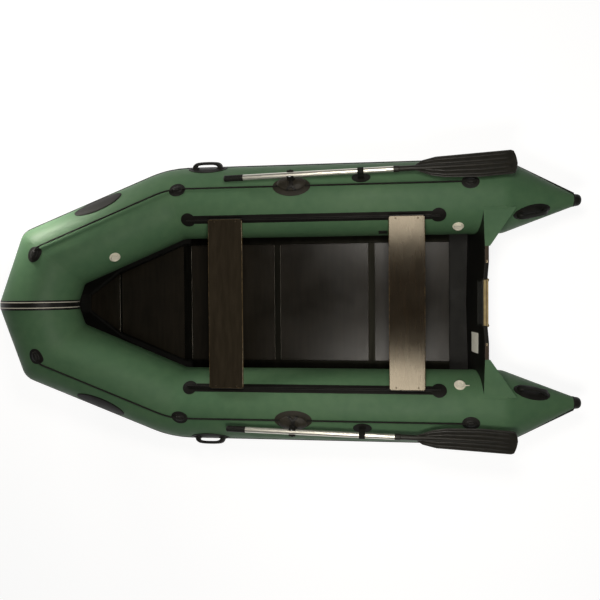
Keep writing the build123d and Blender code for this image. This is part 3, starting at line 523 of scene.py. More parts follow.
def coated_fabric(name, colour, worn, rough, shine, coordinates="UV"):
    """Calendered PVC cloth: colour, weathered tone, roughness and strength of its shine."""
    material, tree, shader = new_material(name, ior=1.5, specular_ior_level=shine)
    place = node(tree, "ShaderNodeTexCoord")
    grain = []
    for direction in ("X", "Y"):
        sockets = {"Vector": place.outputs[coordinates], "Scale": 1 / (drawn_thread * wave_bands)}
        wave = node(tree, "ShaderNodeTexWave", sockets, bands_direction=direction)
        grain.append(wave.outputs["Fac"])
    both = {0: grain[0], 1: grain[1]}
    weave = node(tree, "ShaderNodeMath", both, operation="MULTIPLY").outputs[0]
    spots = place.outputs["Object"]
    weather = blotches(tree, spots, 0.35, 0.0, 0.55)
    handled = blotches(tree, spots, 0.05, -0.1, 0.35, detail=6.0)
    wear = node(tree, "ShaderNodeMath", {0: weather, 1: handled}, operation="ADD").outputs[0]
    tones = {0: wear, 6: srgb(colour), 7: srgb(worn)}
    tint = node(tree, "ShaderNodeMix", tones, data_type="RGBA").outputs[2]
    waves = {"Height": blotches(tree, spots, 0.09, 0.0, 1.0), "Distance": 0.9 * mm}
    waves = node(tree, "ShaderNodeBump", waves).outputs["Normal"]
    threads = {"Height": weave, "Distance": 0.08 * mm, "Strength": 0.5, "Normal": waves}
    threads = node(tree, "ShaderNodeBump", threads).outputs["Normal"]
    satin = blotches(tree, spots, 0.12, rough - 0.05, rough + 0.07)
    fill(tree, shader, {"Base Color": tint, "Roughness": satin, "Normal": threads})
    return material


green_fabric = coated_fabric(
    "green PVC-coated fabric, calendered", "47674b", "547253", rough=0.52, shine=0.17
)
black_fabric = coated_fabric(
    "black PVC-coated fabric, calendered", "0f0e0c", "1a1916", rough=0.5, shine=0.14
)
bottom_fabric = coated_fabric(
    "black bottom fabric, calendered", "0e0e0d", "181815", rough=0.5, shine=0.14,
    coordinates="Object",
)
print("fabric grain drawn at", round(drawn_thread / mm, 2), "mm")

# %% [markdown]
# ## The hull's skin
#
# A mitred tube can be swept along a path, but a sweep rounds the bends off. Here the skin
# is drawn the way the fabric is cut: each lengthwise line of cloth runs straight along a
# tube and meets the next tube in the plane that halves the bend. Rings of points follow
# those lines. They crowd together near each weld, where a doubling tape stands proud, the
# cloth is drawn in, and short puckers run off on the inner side of the bend.

# %% Lengthwise lines of the tube
def lengthwise_line(across, height, tip_across, tip_height):
    """Where a line beside the axis passes the five bends, and the corner beyond the nose."""
    tip = cone_tip + Vector((0, tip_across, tip_height))
    line = [tip, cone_base + Vector((0, across, height))]
    for bend in (2, 3, 4):
        line.append(meet(line[-1], axes[bend - 1], bends[bend], seam_normals[bend]))
    at_corner = line[3]
    return line + [Vector((at_corner.x, -at_corner.y, at_corner.z))]


def skin_line(angle, lift=0.0):
    """Lengthwise line of the skin, at an angle from the top."""
    turn = math.radians(angle)
    reach, tip_reach = tube_radius + lift, cone_tip_radius + lift
    sine, cosine = math.sin(turn), math.cos(turn)
    return lengthwise_line(reach * sine, reach * cosine, tip_reach * sine, tip_reach * cosine)


def along_line(line, segment, share, angle):
    """Place at a share of one stretch of a lengthwise line, with its bends eased."""
    first, last = line[segment], line[segment + 1]
    point = first.lerp(last, share)
    for bend, side in ((segment, 1), (segment + 1, -1)):
        reach = bend_reach(bend, angle)
        distance = (point - line[bend]).length
        if distance < reach:
            into = (line[bend] - line[bend - 1]).normalized()
            away = (line[bend + 1] - line[bend]).normalized()
            point = eased(line[bend], into, away, reach, 0.5 + side * 0.5 * distance / reach)
    return point


print("widest line turns the shoulder at x", round(skin_line(90)[2].x, 3))

# %% Relief of an inflated skin
tape_half_width = 8 * mm
tape_thickness = 0.6 * mm
pucker_reach = 40 * mm
lined_inside = 1  # the bend at the cone's base is welded with its tape inside


def relief(angle, distance, inner_side, spot):
    """Height of the skin at a distance from a weld: tape, draw-in and puckers."""
    height = 0.0
    if distance < tape_half_width and spot != lined_inside:
        height = tape_thickness - 0.5 * mm * math.exp(-((distance / (4 * mm)) ** 2))
    fold = noise.noise(Vector((math.radians(angle) * 6.5, distance * 6, spot)))
    depth = (0.15 + 1.5 * inner_side) * mm
    height -= depth * max(0.0, fold + 0.1) * math.exp(-distance / pucker_reach)
    swell = noise.noise(Vector((math.radians(angle) * 1.3, distance * 3.5, spot + 9)))
    return height - 0.9 * mm * (0.5 + swell)


def stations(length):
    """Distances along one lengthwise line between two welds, close together at the welds."""
    near = [0, 3, 7.4, 8.6, 13, 19, 26, 34, 43, 52]
    near = [distance * mm for distance in near]
    middle = length - 2 * near[-1]
    count = max(2, round(middle / (16 * mm)))
    far = [length - distance for distance in reversed(near)]
    return near + [near[-1] + middle * step / count for step in range(1, count)] + far


around = 144
angles = [360 * index / around for index in range(around)]
skin_lines = [skin_line(angle) for angle in angles]
mean_lengths = [(after - before).length for before, after in zip(bends, bends[1:])]


def skin_ring(segment, share_along, ring_distance):
    """One ring of the skin: every line at its own place, moved out by the relief."""
    start, axis = bends[segment], axes[segment]
    ring = []
    for angle, line in zip(angles, skin_lines):
        straight = line[segment].lerp(line[segment + 1], share_along)
        foot = start + axis * (straight - start).dot(axis)
        inner_side = max(0.0, -math.sin(math.radians(angle))) ** 1.5
        height = relief(angle, ring_distance, inner_side, segment + (share_along > 0.5))
        place = along_line(line, segment, share_along, angle)
        ring.append(place + (straight - foot).normalized() * height)
    return ring


print(around, "lines of skin,", round(math.tau * tube_radius / around / mm, 1), "mm apart")

# %% Build the two skins
skin_rings = []
for segment, length in enumerate(mean_lengths):
    shared = 1 if segment else 0  # each length starts on the last ring of the one before
    for distance in stations(length)[shared:]:
        skin_rings.append(skin_ring(segment, distance / length, min(distance, length - distance)))
for point in skin_rings[-1]:
    point.y = 0.0
hull_skin = Shape().add(loft(skin_rings, caps=(True, False)))
make_pair("hull_skin", hull_skin, green_fabric, ["side_tube", "bow_tube"], sharp=60)
print(len(skin_rings), "rings of", around, "points a side")

# %% [markdown]
# ## Sealing strips beside the transom
#
# The transom is glued between two fabric strips that go round the inside of each tube,
# one ahead of the board and one behind it. Each is a thin band that follows the tube and
# leans aft with the board, so it is drawn on the tube's own skin.

# %% Transom's lean and the sealing strips
rake = math.radians(8.1)
transom_x = cone_base.x + 178 * mm
transom_thickness = 22 * mm


def transom_face_x(height):
    """Place of the transom's inner face at a height."""
    return transom_x - height * math.tan(rake)


def sealing_strip(offset, width, low_angle, high_angle):
    """Thin band round the inside of the tube, parallel to the transom."""
    profile = [(-0.5, -0.5), (-0.49, 0.9), (-0.44, 1.3), (0.44, 1.3), (0.49, 0.9), (0.5, -0.5)]
    rows = []
    for step in range(41):
        angle = low_angle + (high_angle - low_angle) * step / 40
        height = tube_radius * (1 + math.cos(math.radians(angle)))
        x = transom_face_x(height) + offset
        rows.append([side_run.skin(on_side(x + u * width), angle, w * mm) for u, w in profile])
    return loft(rows, closed=False, caps=(False, False))


strips = Shape()
strips.add(sealing_strip(17 * mm, 30 * mm, -150, -14))
strips.add(sealing_strip(-transom_thickness - 22 * mm, 40 * mm, -150, -24))
make_pair("transom_sealing_strips", strips, green_fabric, [])

# %% [markdown]
# ## The bow band
#
# Where the two halves of the bow meet, a black band covers the weld all the way round. It
# carries two thin pale lines. The lines are part of the cloth, so they are drawn in the
# material from the UV map's metres and not as raised geometry.

# %% Black band with two pale lines
band_half_width = 27.5 * mm
line_offset = 15.5 * mm
line_width = 4.5 * mm


def banded_fabric():
    """Black cloth with two printed lines along it."""
    material = coated_fabric("black banded fabric, calendered", "0e0e0d", "181815", 0.4, 0.2)
    tree = material.node_tree
    shader = tree.nodes["Principled BSDF"]
    place = node(tree, "ShaderNodeTexCoord").outputs["UV"]
    across = node(tree, "ShaderNodeSeparateXYZ", {"Vector": place}).outputs["Y"]
    middle = band_half_width + 2 * mm
    from_middle = node(tree, "ShaderNodeMath", {0: across, 1: middle}, operation="SUBTRACT")
    side = node(tree, "ShaderNodeMath", {0: from_middle.outputs[0]}, operation="ABSOLUTE")
    sockets = {0: side.outputs[0], 1: line_offset, 2: line_width / 2}
    on_line = node(tree, "ShaderNodeMath", sockets, operation="COMPARE").outputs[0]
    ground = shader.inputs["Base Color"].links[0].from_socket
    tones = {0: on_line, 6: ground, 7: srgb("cbc7ba")}
    printed = node(tree, "ShaderNodeMix", tones, data_type="RGBA").outputs[2]
    fill(tree, shader, {"Base Color": printed})
    return material


def band_point(angle, across, lift):
    """Point of the band at an angle round the tube and a distance from the centre plane."""
    line = skin_line(angle, lift)
    point = along_line(line, 3, 1 - abs(across) / line[3].y, angle)
    return Vector((point.x, across, point.z))


band_profile = [(-1.0, -1.5), (-1.0, 0.6), (-0.95, 1.6), (-0.5, 1.7), (-0.03, 1.7), (0.03, 1.7)]
band_profile += [(0.5, 1.7), (0.95, 1.6), (1.0, 0.6), (1.0, -1.5)]
band_rings = []
for across, lift in band_profile:
    reach = across * band_half_width
    band_rings.append([band_point(angle, reach, lift * mm) for angle in range(0, 360, 3)])
band = Shape().add(loft(band_rings, caps=(False, False)))
make_piece("bow_band_striped", band, banded_fabric(), ["bow_band"])

# %% [markdown]
# ## Moulded rubber
#
# Cone caps, rub strakes, carrying handles and oar grips are moulded in black rubber. The
# mould leaves a fine grain, and sun and salt leave it slightly grey on its high places.

# %% Rubber material
rubber_grain = 1.6 * mm


def moulded_rubber(name, colour, worn, rough):
    """Black rubber with a moulded grain and a dusty bloom."""
    material, tree, shader = new_material(name, ior=1.52, specular_ior_level=0.22)
    place = node(tree, "ShaderNodeTexCoord").outputs["Object"]
    bloom = blotches(tree, place, 0.04, 0.0, 0.6, detail=5.0)
    tones = {0: bloom, 6: srgb(colour), 7: srgb(worn)}
    tint = node(tree, "ShaderNodeMix", tones, data_type="RGBA").outputs[2]
    cells = node(tree, "ShaderNodeTexVoronoi", {"Vector": place, "Scale": 1 / rubber_grain})
    grain = {"Height": cells.outputs["Distance"], "Distance": 0.12 * mm, "Strength": 0.35}
    grain = node(tree, "ShaderNodeBump", grain).outputs["Normal"]
    satin = blotches(tree, place, 0.03, rough - 0.06, rough + 0.1)
    fill(tree, shader, {"Base Color": tint, "Roughness": satin, "Normal": grain})
    return material


black_rubber = moulded_rubber("black moulded rubber", "121210", "1f1e1a", 0.52)
print("rubber grain", round(rubber_grain / mm, 2), "mm")

# %% [markdown]
# ## Cone caps
#
# Each stern cone ends in a screwed rubber plug. It is a solid of revolution, with a
# flange that overlaps the cloth, a grooved body and a domed end, so a turned profile
# makes it.

# %% Turn the cone caps
cap_length = cone_tip.x - cad_low.x
drawn_length = 41 * mm
cap_profile = [(0, -6), (33.2, -6), (35.5, -4), (36.2, 0), (35.6, 3.5), (34, 5), (33, 9)]
cap_profile += [(33.4, 12), (32.4, 14), (32.2, 18), (31.2, 23), (29, 28.5), (25.4, 33.4)]
cap_profile += [(20.4, 37.2), (14.4, 39.6), (8, 40.8), (7.6, 39.4), (0.2, 39.2)]
cap_profile = [
    (radius, height * cap_length / drawn_length) for radius, height in in_mm(cap_profile)
]
cap_frame = frame_at(cone_tip, to_port, -ahead)
caps = Shape().add(turned(cap_frame, cap_profile))
caps.join(caps.mirrored())
make_piece("cone_caps_moulded", caps, black_rubber, ["cone_caps"])

# %% [markdown]
# ## Rub strakes
#
# A rubber strake runs along the widest line of the hull and takes the knocks of a quay.
# Its section is drawn once, with two grooves, and every point of the section follows its
# own lengthwise line, so the strake turns the bends as neatly as the tube does.

# %% Strake section along the hull
upper_half = [(6, 6.5), (4.6, 7.4), (4.6, 9.6), (6, 10.5), (6, 13.5), (5.4, 15.6)]
upper_half += [(3.6, 17), (-2, 17)]
strake_section = [(proud, -height) for proud, height in reversed(upper_half)] + upper_half
strake_lines = []
for proud, height in strake_section:
    out = tube_radius + proud * mm
    line = lengthwise_line(out, height * mm, cone_tip_radius + proud * mm, height * mm)
    strake_lines.append(line)
strake_rings = []
for segment in range(4):
    last = 1.0 if segment < 3 else 1 - band_half_width / strake_lines[0][3].y
    for step in range(32 if segment < 3 else 33):
        share = last * step / 32
        strake_rings.append([along_line(line, segment, share, 90) for line in strake_lines])
strake = Shape().add(loft(strake_rings))
make_pair("rub_strake_grooved", strake, black_rubber, ["rub_strake"])

# %% [markdown]
# ## Boards and fittings with broken edges
#
# Boards, profiles and mouldings keep the shape that the engineering model gives them, but
# no real one has knife edges: a router, a file or the mould has rounded them, and that
# thin rounding is what catches the light. A bevel on every sharp edge of a copy gives it.

# %% Copy an engineering solid with its edges broken
sharp_edge = math.radians(30)


def softened(name, width):
    """Shape of an engineering solid with its sharp edges rounded by a width."""
    work = bmesh.new()
    work.from_mesh(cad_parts[name].data)
    bmesh.ops.remove_doubles(work, verts=work.verts, dist=0.01 * mm)
    flat = math.radians(0.5)
    bmesh.ops.dissolve_limit(work, angle_limit=flat, verts=work.verts, edges=work.edges)
    edges = [e for e in work.edges if len(e.link_faces) == 2 and e.calc_face_angle() > sharp_edge]
    bmesh.ops.bevel(
        work, geom=edges, offset=width, offset_type="OFFSET", segments=2, profile=0.5,
        affect="EDGES", clamp_overlap=True,
    )
    work.verts.index_update()
    shape = Shape()
    shape.points = [vertex.co.copy() for vertex in work.verts]
    for face in work.faces:
        main = max(range(3), key=lambda axis: abs(face.normal[axis]))
        first, second = [axis for axis in range(3) if axis != main]
        shape.faces.append([vertex.index for vertex in face.verts])
        shape.uvs.append([(vertex.co[first], vertex.co[second]) for vertex in face.verts])
    work.free()
    return shape


print("edges sharper than", round(math.degrees(sharp_edge)), "degrees are rounded")

# %% [markdown]
# ## The transom board
#
# The transom is birch plywood, pressed with a dark phenolic film and sealed on its edges
# with black paint. The edge tint is chosen by the way a face points: faces that look
# straight up, as the level top does, are tinted brown, and the ramps beside the notch stay
# black. The film is smooth and satin; under a low light it shows faint waves of the
# veneer below. Film-faced plywood also makes the floor, so one function serves both, with
# a different film colour and gloss for each.

# %% Film-faced plywood material
veneer_wave = 60 * mm
mesh_pitch = 4.5 * mm
level_enough = 0.955  # height of the normal of a face that counts as the level top


def film_faced_plywood(name, colour, worn, rough, shine, mesh_depth=0.0, edge=None):
    """Dark phenolic film over veneer, plain or pressed with a wire-mesh pattern."""
    material, tree, shader = new_material(name, ior=1.55, specular_ior_level=shine)
    place = node(tree, "ShaderNodeTexCoord").outputs["Object"]
    stretch = node(tree, "ShaderNodeMapping", {"Vector": place, "Scale": (1, 0.12, 1)})
    grain = blotches(tree, stretch.outputs["Vector"], veneer_wave / 3, 0.0, 0.5, detail=6.0)
    stains = blotches(tree, place, 0.22, -0.1, 0.6)
    wear = node(tree, "ShaderNodeMath", {0: grain, 1: stains}, operation="ADD").outputs[0]
    tones = {0: wear, 6: srgb(colour), 7: srgb(worn)}
    tint = node(tree, "ShaderNodeMix", tones, data_type="RGBA").outputs[2]
    if edge:
        facing = node(tree, "ShaderNodeNewGeometry").outputs["True Normal"]
        upward = node(tree, "ShaderNodeSeparateXYZ", {"Vector": facing}).outputs["Z"]
        level = {0: upward, 1: level_enough}
        level = node(tree, "ShaderNodeMath", level, operation="GREATER_THAN").outputs[0]
        tones = {0: level, 6: tint, 7: srgb(edge)}
        tint = node(tree, "ShaderNodeMix", tones, data_type="RGBA").outputs[2]
    waves = {"Height": grain, "Distance": 0.15 * mm}
    relief = node(tree, "ShaderNodeBump", waves).outputs["Normal"]
    if mesh_depth:
        wires = []
        for turn in (45, -45):
            lean = {"Vector": place, "Rotation": (0, 0, math.radians(turn))}
            leaning = node(tree, "ShaderNodeMapping", lean).outputs["Vector"]
            pitch = {"Vector": leaning, "Scale": 1 / (mesh_pitch * wave_bands)}
            wires.append(node(tree, "ShaderNodeTexWave", pitch).outputs["Fac"])
        crossed = {0: wires[0], 1: wires[1]}
        wire = node(tree, "ShaderNodeMath", crossed, operation="MAXIMUM").outputs[0]
        pressed = {"Height": wire, "Distance": mesh_depth, "Strength": 0.6, "Normal": relief}
        relief = node(tree, "ShaderNodeBump", pressed).outputs["Normal"]
    satin = blotches(tree, place, 0.16, rough - 0.04, rough + 0.05)
    fill(tree, shader, {"Base Color": tint, "Roughness": satin, "Normal": relief})
    return material


transom_film = film_faced_plywood(
    "black film-faced plywood, edges sealed", "090907", "11100d", 0.45, 0.25, edge="3f342a"
)
print("mesh of the floor's film drawn at", round(mesh_pitch / mm, 1), "mm, its real pitch")

# %% Transom board
board = softened("transom", 1.5 * mm)
make_piece("transom_board_finished", board, transom_film, ["transom"], sharp=25)

# %% [markdown]
# ## The motor's clamp pads
#
# An outboard's clamp screws would dig into plain plywood. Inside, a ribbed plastic pad
# takes the screws. Outside and over the notch, a pale plate takes the bracket, and its
# bolts have dark caps. Both are flat mouldings on a leaning face, so they are drawn in the
# transom's own plane and carried there by one placing function.

# %% Place things on the transom
transom_up = Vector((-math.sin(rake), 0, math.cos(rake)))
transom_aft = Vector((-math.cos(rake), 0, -math.sin(rake)))
notch_height = 390 * mm
notch_top = notch_height / math.cos(rake)


def on_inner_face(u, v, w):
    """u to starboard from the centre plane, v up the board, w out of its inner face."""
    return Vector((transom_x, -u, 0)) + transom_up * v - transom_aft * w


def on_outer_face(u, v, w):
    """u to port from the centre plane, v up the board, w out of its outer face."""
    return Vector((transom_x, u, 0)) + transom_up * v + transom_aft * (transom_thickness + w)


print("notch", round(notch_top, 3), "m up the board")

# %% [markdown]
# ## Moulded plastic
#
# Pads, posts, forks, caps and valves are injection-moulded. The faces of a mould are
# spark-eroded, which leaves a fine even grain, and use scuffs the high places. An even
# colour with light scuffs gives the eye a dull satin shine, with no weave in it.

# %% Moulded plastic material
spark_grain = 0.8 * mm
drawn_spark_grain = 3 * spark_grain  # too fine to show, so it is drawn coarser


def moulded_plastic(name, colour, worn, rough):
    """Injection-moulded plastic: even colour, fine spark-eroded grain, scuffs in random spots."""
    material, tree, shader = new_material(name, ior=1.49, specular_ior_level=0.3)
    place = node(tree, "ShaderNodeTexCoord").outputs["Object"]
    scuffs = blotches(tree, place, 0.03, -0.1, 0.6, detail=6.0)
    tones = {0: scuffs, 6: srgb(colour), 7: srgb(worn)}
    tint = node(tree, "ShaderNodeMix", tones, data_type="RGBA").outputs[2]
    sparks = node(tree, "ShaderNodeTexNoise", {"Vector": place, "Scale": 1 / drawn_spark_grain})
    grain = {"Height": sparks.outputs["Fac"], "Distance": 0.1 * mm, "Strength": 0.4}
    grain = node(tree, "ShaderNodeBump", grain).outputs["Normal"]
    satin = blotches(tree, place, 0.02, rough - 0.05, rough + 0.08)
    fill(tree, shader, {"Base Color": tint, "Roughness": satin, "Normal": grain})
    return material


print("grain of moulded plastic drawn at", round(drawn_spark_grain / mm, 2), "mm")

# %% Ribbed pad inside
pad_plastic = moulded_plastic("dark grey moulded polyethylene", "141512", "1e1f1b", 0.5)
pad_length, pad_height = 264 * mm, 105 * mm
pad_middle = notch_top - (4 + 105 / 2) * mm
pad = Shape()
pad_outline = moved(rounded_box(pad_length, pad_height, 14 * mm), 0, pad_middle)
pad_steps = [(0, -1), (0, 4.6), (0.5, 5.6), (1.6, 6), (5, 6), (5.8, 4.8)]
pad.add(contour(on_inner_face, pad_outline, in_mm(pad_steps)))
for rib in range(7):
    height = pad_middle + (rib - 3) * 13 * mm
    rib_outline = moved(rounded_box(236 * mm, 6 * mm, 2.6 * mm), 0, height)
    pad.add(slab(on_inner_face, rib_outline, 4 * mm, 6 * mm, 0.8 * mm))
screw_head = [(0.1, 0), (5, 0), (5, 1.2), (3.8, 2.2), (1.5, 2.6), (0.1, 2.6)]
for side in (-1, 1):
    for level in (-1, 1):
        spot = on_inner_face(side * 118 * mm, pad_middle + level * 38.5 * mm, 5.2 * mm)
        pad.add(turned(frame_at(spot, up, -transom_aft), in_mm(screw_head), 24))
make_piece("transom_inner_pad_ribbed", pad, pad_plastic, ["transom_inner_pad"])

# %% Pale plate over the notch
plate_plastic = moulded_plastic("cream moulded acetal, weathered", "a8966c", "7a6a4a", 0.4)
plate = softened("transom_clamp_plate", 1.2 * mm)
make_piece(
    "transom_clamp_plate_moulded", plate, plate_plastic, ["transom_clamp_plate"]
)


def on_notch(u, v, w):
    """u to port, v aft from the inner face across the top of the notch, w up."""
    return Vector((transom_x, u, 0)) + transom_up * (notch_top + w) + transom_aft * v


seam_paint = moulded_plastic("brown edge sealer, brushed", "3a2a1f", "4d3a2b", 0.55)
seam_outline = moved(rounded_box(246 * mm, 3 * mm, 1.2 * mm), 0, 15 * mm)
seam = Shape().add(slab(on_notch, seam_outline, 3.6 * mm, 4.3 * mm, 0.3 * mm))
make_piece("transom_clamp_seam", seam, seam_paint, [])
bolts = Shape()
bolt_cap = [(0.1, 0), (7, 0), (7.4, 1.2), (7.2, 3.6), (5.6, 5.4), (3, 6.2), (0.1, 6.4)]
for side in (-1, 1):
    for below in (7 * mm, 100 * mm):
        spot = on_outer_face(side * 123 * mm, notch_top - below, 3.6 * mm)
        bolts.add(turned(frame_at(spot, up, transom_aft), in_mm(bolt_cap), 28))
black_plastic = moulded_plastic("black moulded polypropylene", "141311", "23211e", 0.45)
make_piece("transom_bolt_caps", bolts, black_plastic, [])

# %% [markdown]
# ## Small metal on the transom
#
# Two brass saddles on the shoulders take a safety line. They are bent from rod and
# screwed down. Brass is a bare metal here, so its colour is the reflection's own tint.

# %% Bare metal materials
def bare_metal(name, colour, dull, rough, streak=(1, 1, 1)):
    """Polished or brushed metal with handling marks; streak stretches them one way."""
    material, tree, shader = new_material(name, metallic=1.0)
    place = node(tree, "ShaderNodeTexCoord").outputs["Object"]
    along = node(tree, "ShaderNodeMapping", {"Vector": place, "Scale": streak}).outputs["Vector"]
    marks = blotches(tree, along, 6 * mm, 0.0, 0.7, detail=6.0)
    tones = {0: marks, 6: srgb(colour), 7: srgb(dull)}
    tint = node(tree, "ShaderNodeMix", tones, data_type="RGBA").outputs[2]
    scratches = {"Height": marks, "Distance": 0.03 * mm, "Strength": 0.4}
    scratches = node(tree, "ShaderNodeBump", scratches).outputs["Normal"]
    polish = blotches(tree, along, 3 * mm, rough - 0.06, rough + 0.1)
    fill(tree, shader, {"Base Color": tint, "Roughness": polish, "Normal": scratches})
    return material


brass = bare_metal("polished brass, tarnished", "dccaa6", "b9a27c", 0.3)
steel = bare_metal("polished stainless steel", "c9cdd0", "a4a8aa", 0.25)
print("metals:", brass.name, "and", steel.name)

# %% Saddles bent from rod
def bent_rod(points, radius, count=12):
    """Rod that follows points, with a steady sideways direction."""
    rings = []
    for index, point in enumerate(points):
        before, after = points[max(0, index - 1)], points[min(len(points) - 1, index + 1)]
        along = (after - before).normalized()
        side = up.cross(along) if abs(along.z) < 0.9 else to_port
        matrix = frame_at(point, side, along)
        rings.append([matrix @ Vector((u, v, 0)) for u, v in oval(2 * radius, 2 * radius, count)])
    return loft(rings)


shoulder_top = (tube_radius * 2 + 4 * mm) / math.cos(rake)
saddles = Shape()
washer_rim = [(0.1, 0), (3, 0), (3, 0.7), (2.4, 1.1), (0.1, 1.2)]
for side in (-1, 1):
    foot = on_notch(side * 224 * mm, transom_thickness / 2, shoulder_top - notch_top)
    arch = []
    for step in range(13):
        turn = math.pi * step / 12
        arch.append(foot + Vector((0, math.cos(turn) * 4.4 * mm, math.sin(turn) * 6 * mm - 1 * mm)))
    saddles.add(bent_rod(arch, 1.6 * mm))
    for end in (-1, 1):
        washer = frame_at(foot + Vector((0, end * 4.4 * mm, -0.2 * mm)), ahead, up)
        saddles.add(turned(washer, in_mm(washer_rim), 20))
make_piece("transom_saddles", saddles, brass, [])

# %% [markdown]
# ## Drain plug
#
# A moulded flange is screwed over a hole low in the transom, and a plug with a finger bar
# screws into it. Both are round, so one turned profile makes them, and the bar is a slab.

# %% Drain plug on the outer face
plug_low, plug_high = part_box("drain_plug")
plug_spot = on_outer_face((plug_low.y + plug_high.y) / 2, 79 * mm, 0)
plug_frame = frame_at(plug_spot, to_port, transom_aft)
plug_profile = [(0.1, 0), (25, 0), (25, 2.4), (24, 3.6), (20, 4), (18.4, 4.4), (17, 5.6)]
plug_profile += [(17, 13.4), (16, 15.2), (13.6, 16), (12, 16), (11.6, 14.8), (0.1, 14.6)]
plug = Shape().add(turned(plug_frame, in_mm(plug_profile), 48))
wing_bar = matrix_place(plug_frame)
plug.add(slab(wing_bar, rounded_box(22 * mm, 4 * mm, 1.9 * mm), 14 * mm, 16 * mm, 0.8 * mm))
make_piece("drain_plug_moulded", plug, pad_plastic, ["drain_plug"])

# %% [markdown]
# ## Transom gussets
#
# A triangle of hull fabric ties each wing of the transom to the tube behind it. It is one
# sheet, pulled flat between its three edges, so it hardly sags. Its free edge is turned
# under and stitched, which shows as a thicker welt. The sheet is drawn as a grid between
# its four corners, with the welt and the faint pull lines added as height.

# %% Corners of a gusset
wing_reach = 92.5 * mm  # from the tube's axis inboard to the foot of the gusset
wing_y = tube_y - wing_reach
wing_height = tube_radius + math.sqrt(tube_radius**2 - wing_reach**2)
wing_point = Vector((transom_face_x(wing_height), wing_y, wing_height))
shoulder_height = 2 * tube_radius + 4 * mm
shoulder_point = Vector((transom_face_x(shoulder_height), 305 * mm, shoulder_height))
web_reach, web_tip = 175 * mm, 27 * mm
web_tuck = (wing_point - shoulder_point).normalized() * (14 * mm)
web_corners = [
    wing_point + web_tuck,
    shoulder_point,
    shoulder_point + Vector((-web_tip, 0, 0)),
    wing_point + web_tuck + Vector((-web_reach, 0, 0)),
]
web_normal = ahead.cross(shoulder_point - wing_point).normalized()
web_normal = web_normal if web_normal.z > 0 else -web_normal

# %% Stretch the sheet
def web_sheet(rows=40, columns=36):
    """Grid of the gusset: rows go aft, columns go from the tube to the free tip."""
    upper, lower = [], []
    for row in range(rows + 1):
        aft = row / rows
        line_top, line_low = [], []
        for column in range(columns + 1):
            share = column / columns
            near = web_corners[0].lerp(web_corners[3], aft)
            far = web_corners[1].lerp(web_corners[2], aft)
            point = near.lerp(far, share)
            pull = noise.noise(Vector((share * 5, aft * 2.2, 3.0))) * 1.2 * mm
            sag = -2.2 * mm * math.sin(math.pi * share) * math.sin(math.pi * min(1, aft * 1.05))
            from_edge = (1 - aft) * web_reach * (1 - share * 0.8)
            welt = 1.1 * mm * math.exp(-((max(0.0, from_edge - 4 * mm) / (3 * mm)) ** 2))
            lift = sag + pull * math.sin(math.pi * share) * math.sin(math.pi * aft)
            line_top.append(point + web_normal * (lift + 2.0 * mm + welt))
            line_low.append(point + web_normal * (lift + 0.4 * mm))
        upper.append(line_top)
        lower.append(line_low)
    return loft([top + low[::-1] for top, low in zip(upper, lower)])


web = Shape().add(web_sheet())
make_pair("transom_gusset_web", web, green_fabric, ["transom_gusset"])

# %% Foot of the gusset on the tube
wing_angle = -math.degrees(math.asin(wing_reach / tube_radius))
flange_place = side_run.wrap(on_side(wing_point.x - 60 * mm), wing_angle)
flange_outline = rounded_box(128 * mm, 40 * mm, 8 * mm)
flange = Shape().add(glued(flange_place, flange_outline, 1.4 * mm, 0.8 * mm))
make_pair("transom_gusset_flange", flange, green_fabric, [])

# %% [markdown]
# ## The sectional floor
#
# Five boards drop in between the tubes and lock together in aluminium profiles, and two
# long profiles clip over their edges. The boards are film-faced plywood with a wire-mesh
# pattern pressed into the film for grip. The profiles are anodised dark. Thin beads of pale
# metal along their crests are painted highlights: they stand for the thin light lines that
# the profiles' edges catch across the floor.

# %% Floor boards
mesh_relief = 0.2 * mm
floor_film = film_faced_plywood(
    "brown film-faced plywood, mesh pressed", "161410", "221e18", 0.21, 0.17, mesh_relief
)
for number in range(1, 6):
    name = f"floor_board_{number}"
    make_piece(f"{name}_finished", softened(name, 1.6 * mm), floor_film, [name])

# %% Joint profiles and the painted highlights on their crests
dark_anodised = bare_metal(
    "dark anodised aluminium profile", "11110e", "1b1a16", 0.42, streak=(0.2, 0.02, 1)
)
# pale metal for the crest beads: a painted highlight for the light lines the profiles' edges catch
crest_highlight_metal = bare_metal(
    "pale metal crest, painted highlight", "98938a", "6b675e", 0.35, streak=(1, 0.05, 1)
)


def crest(start, end, radius):
    """Half-round bead from one point to another."""
    return bent_rod([start.lerp(end, step / 8) for step in range(9)], radius, 8)


crests = Shape()
# radius in mm of each joint's aft and front pale bead, a painted highlight; 0 where none shows
rubbed = {1: (0, 0.5), 2: (0.4, 0), 3: (1.0, 0.9), 4: (0, 0.8)}
for number in range(1, 5):
    name = f"floor_joint_{number}"
    make_piece(f"{name}_profile", softened(name, 0.7 * mm), dark_anodised, [name])
    low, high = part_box(name)
    for x, radius in zip((low.x + 1.6 * mm, high.x - 1.6 * mm), rubbed[number]):
        if radius:
            ends = [Vector((x, y, high.z - 0.2 * mm)) for y in (low.y + 4 * mm, high.y - 4 * mm)]
            crests.add(crest(*ends, radius * mm))
make_piece("floor_joint_crests", crests, crest_highlight_metal, [])
stringer = softened("floor_stringer_port", 1.0 * mm)
low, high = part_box("floor_stringer_port")
for y in (low.y + 12 * mm, low.y + 18 * mm):
    ends = [Vector((x, y, high.z - 0.3 * mm)) for x in (low.x + 3 * mm, high.x - 3 * mm)]
    stringer.add(crest(*ends, 0.7 * mm))
make_pair("floor_stringer_profile", stringer, dark_anodised, ["floor_stringer"])

# %% [markdown]
# ## Bench rails
#
# A strip of black hull cloth with a round patch at each end is glued along the inside of
# each tube. It carries a bead, like the boltrope of a sail, that the benches slide on.
# The bead's section is drawn once and run along the strip.

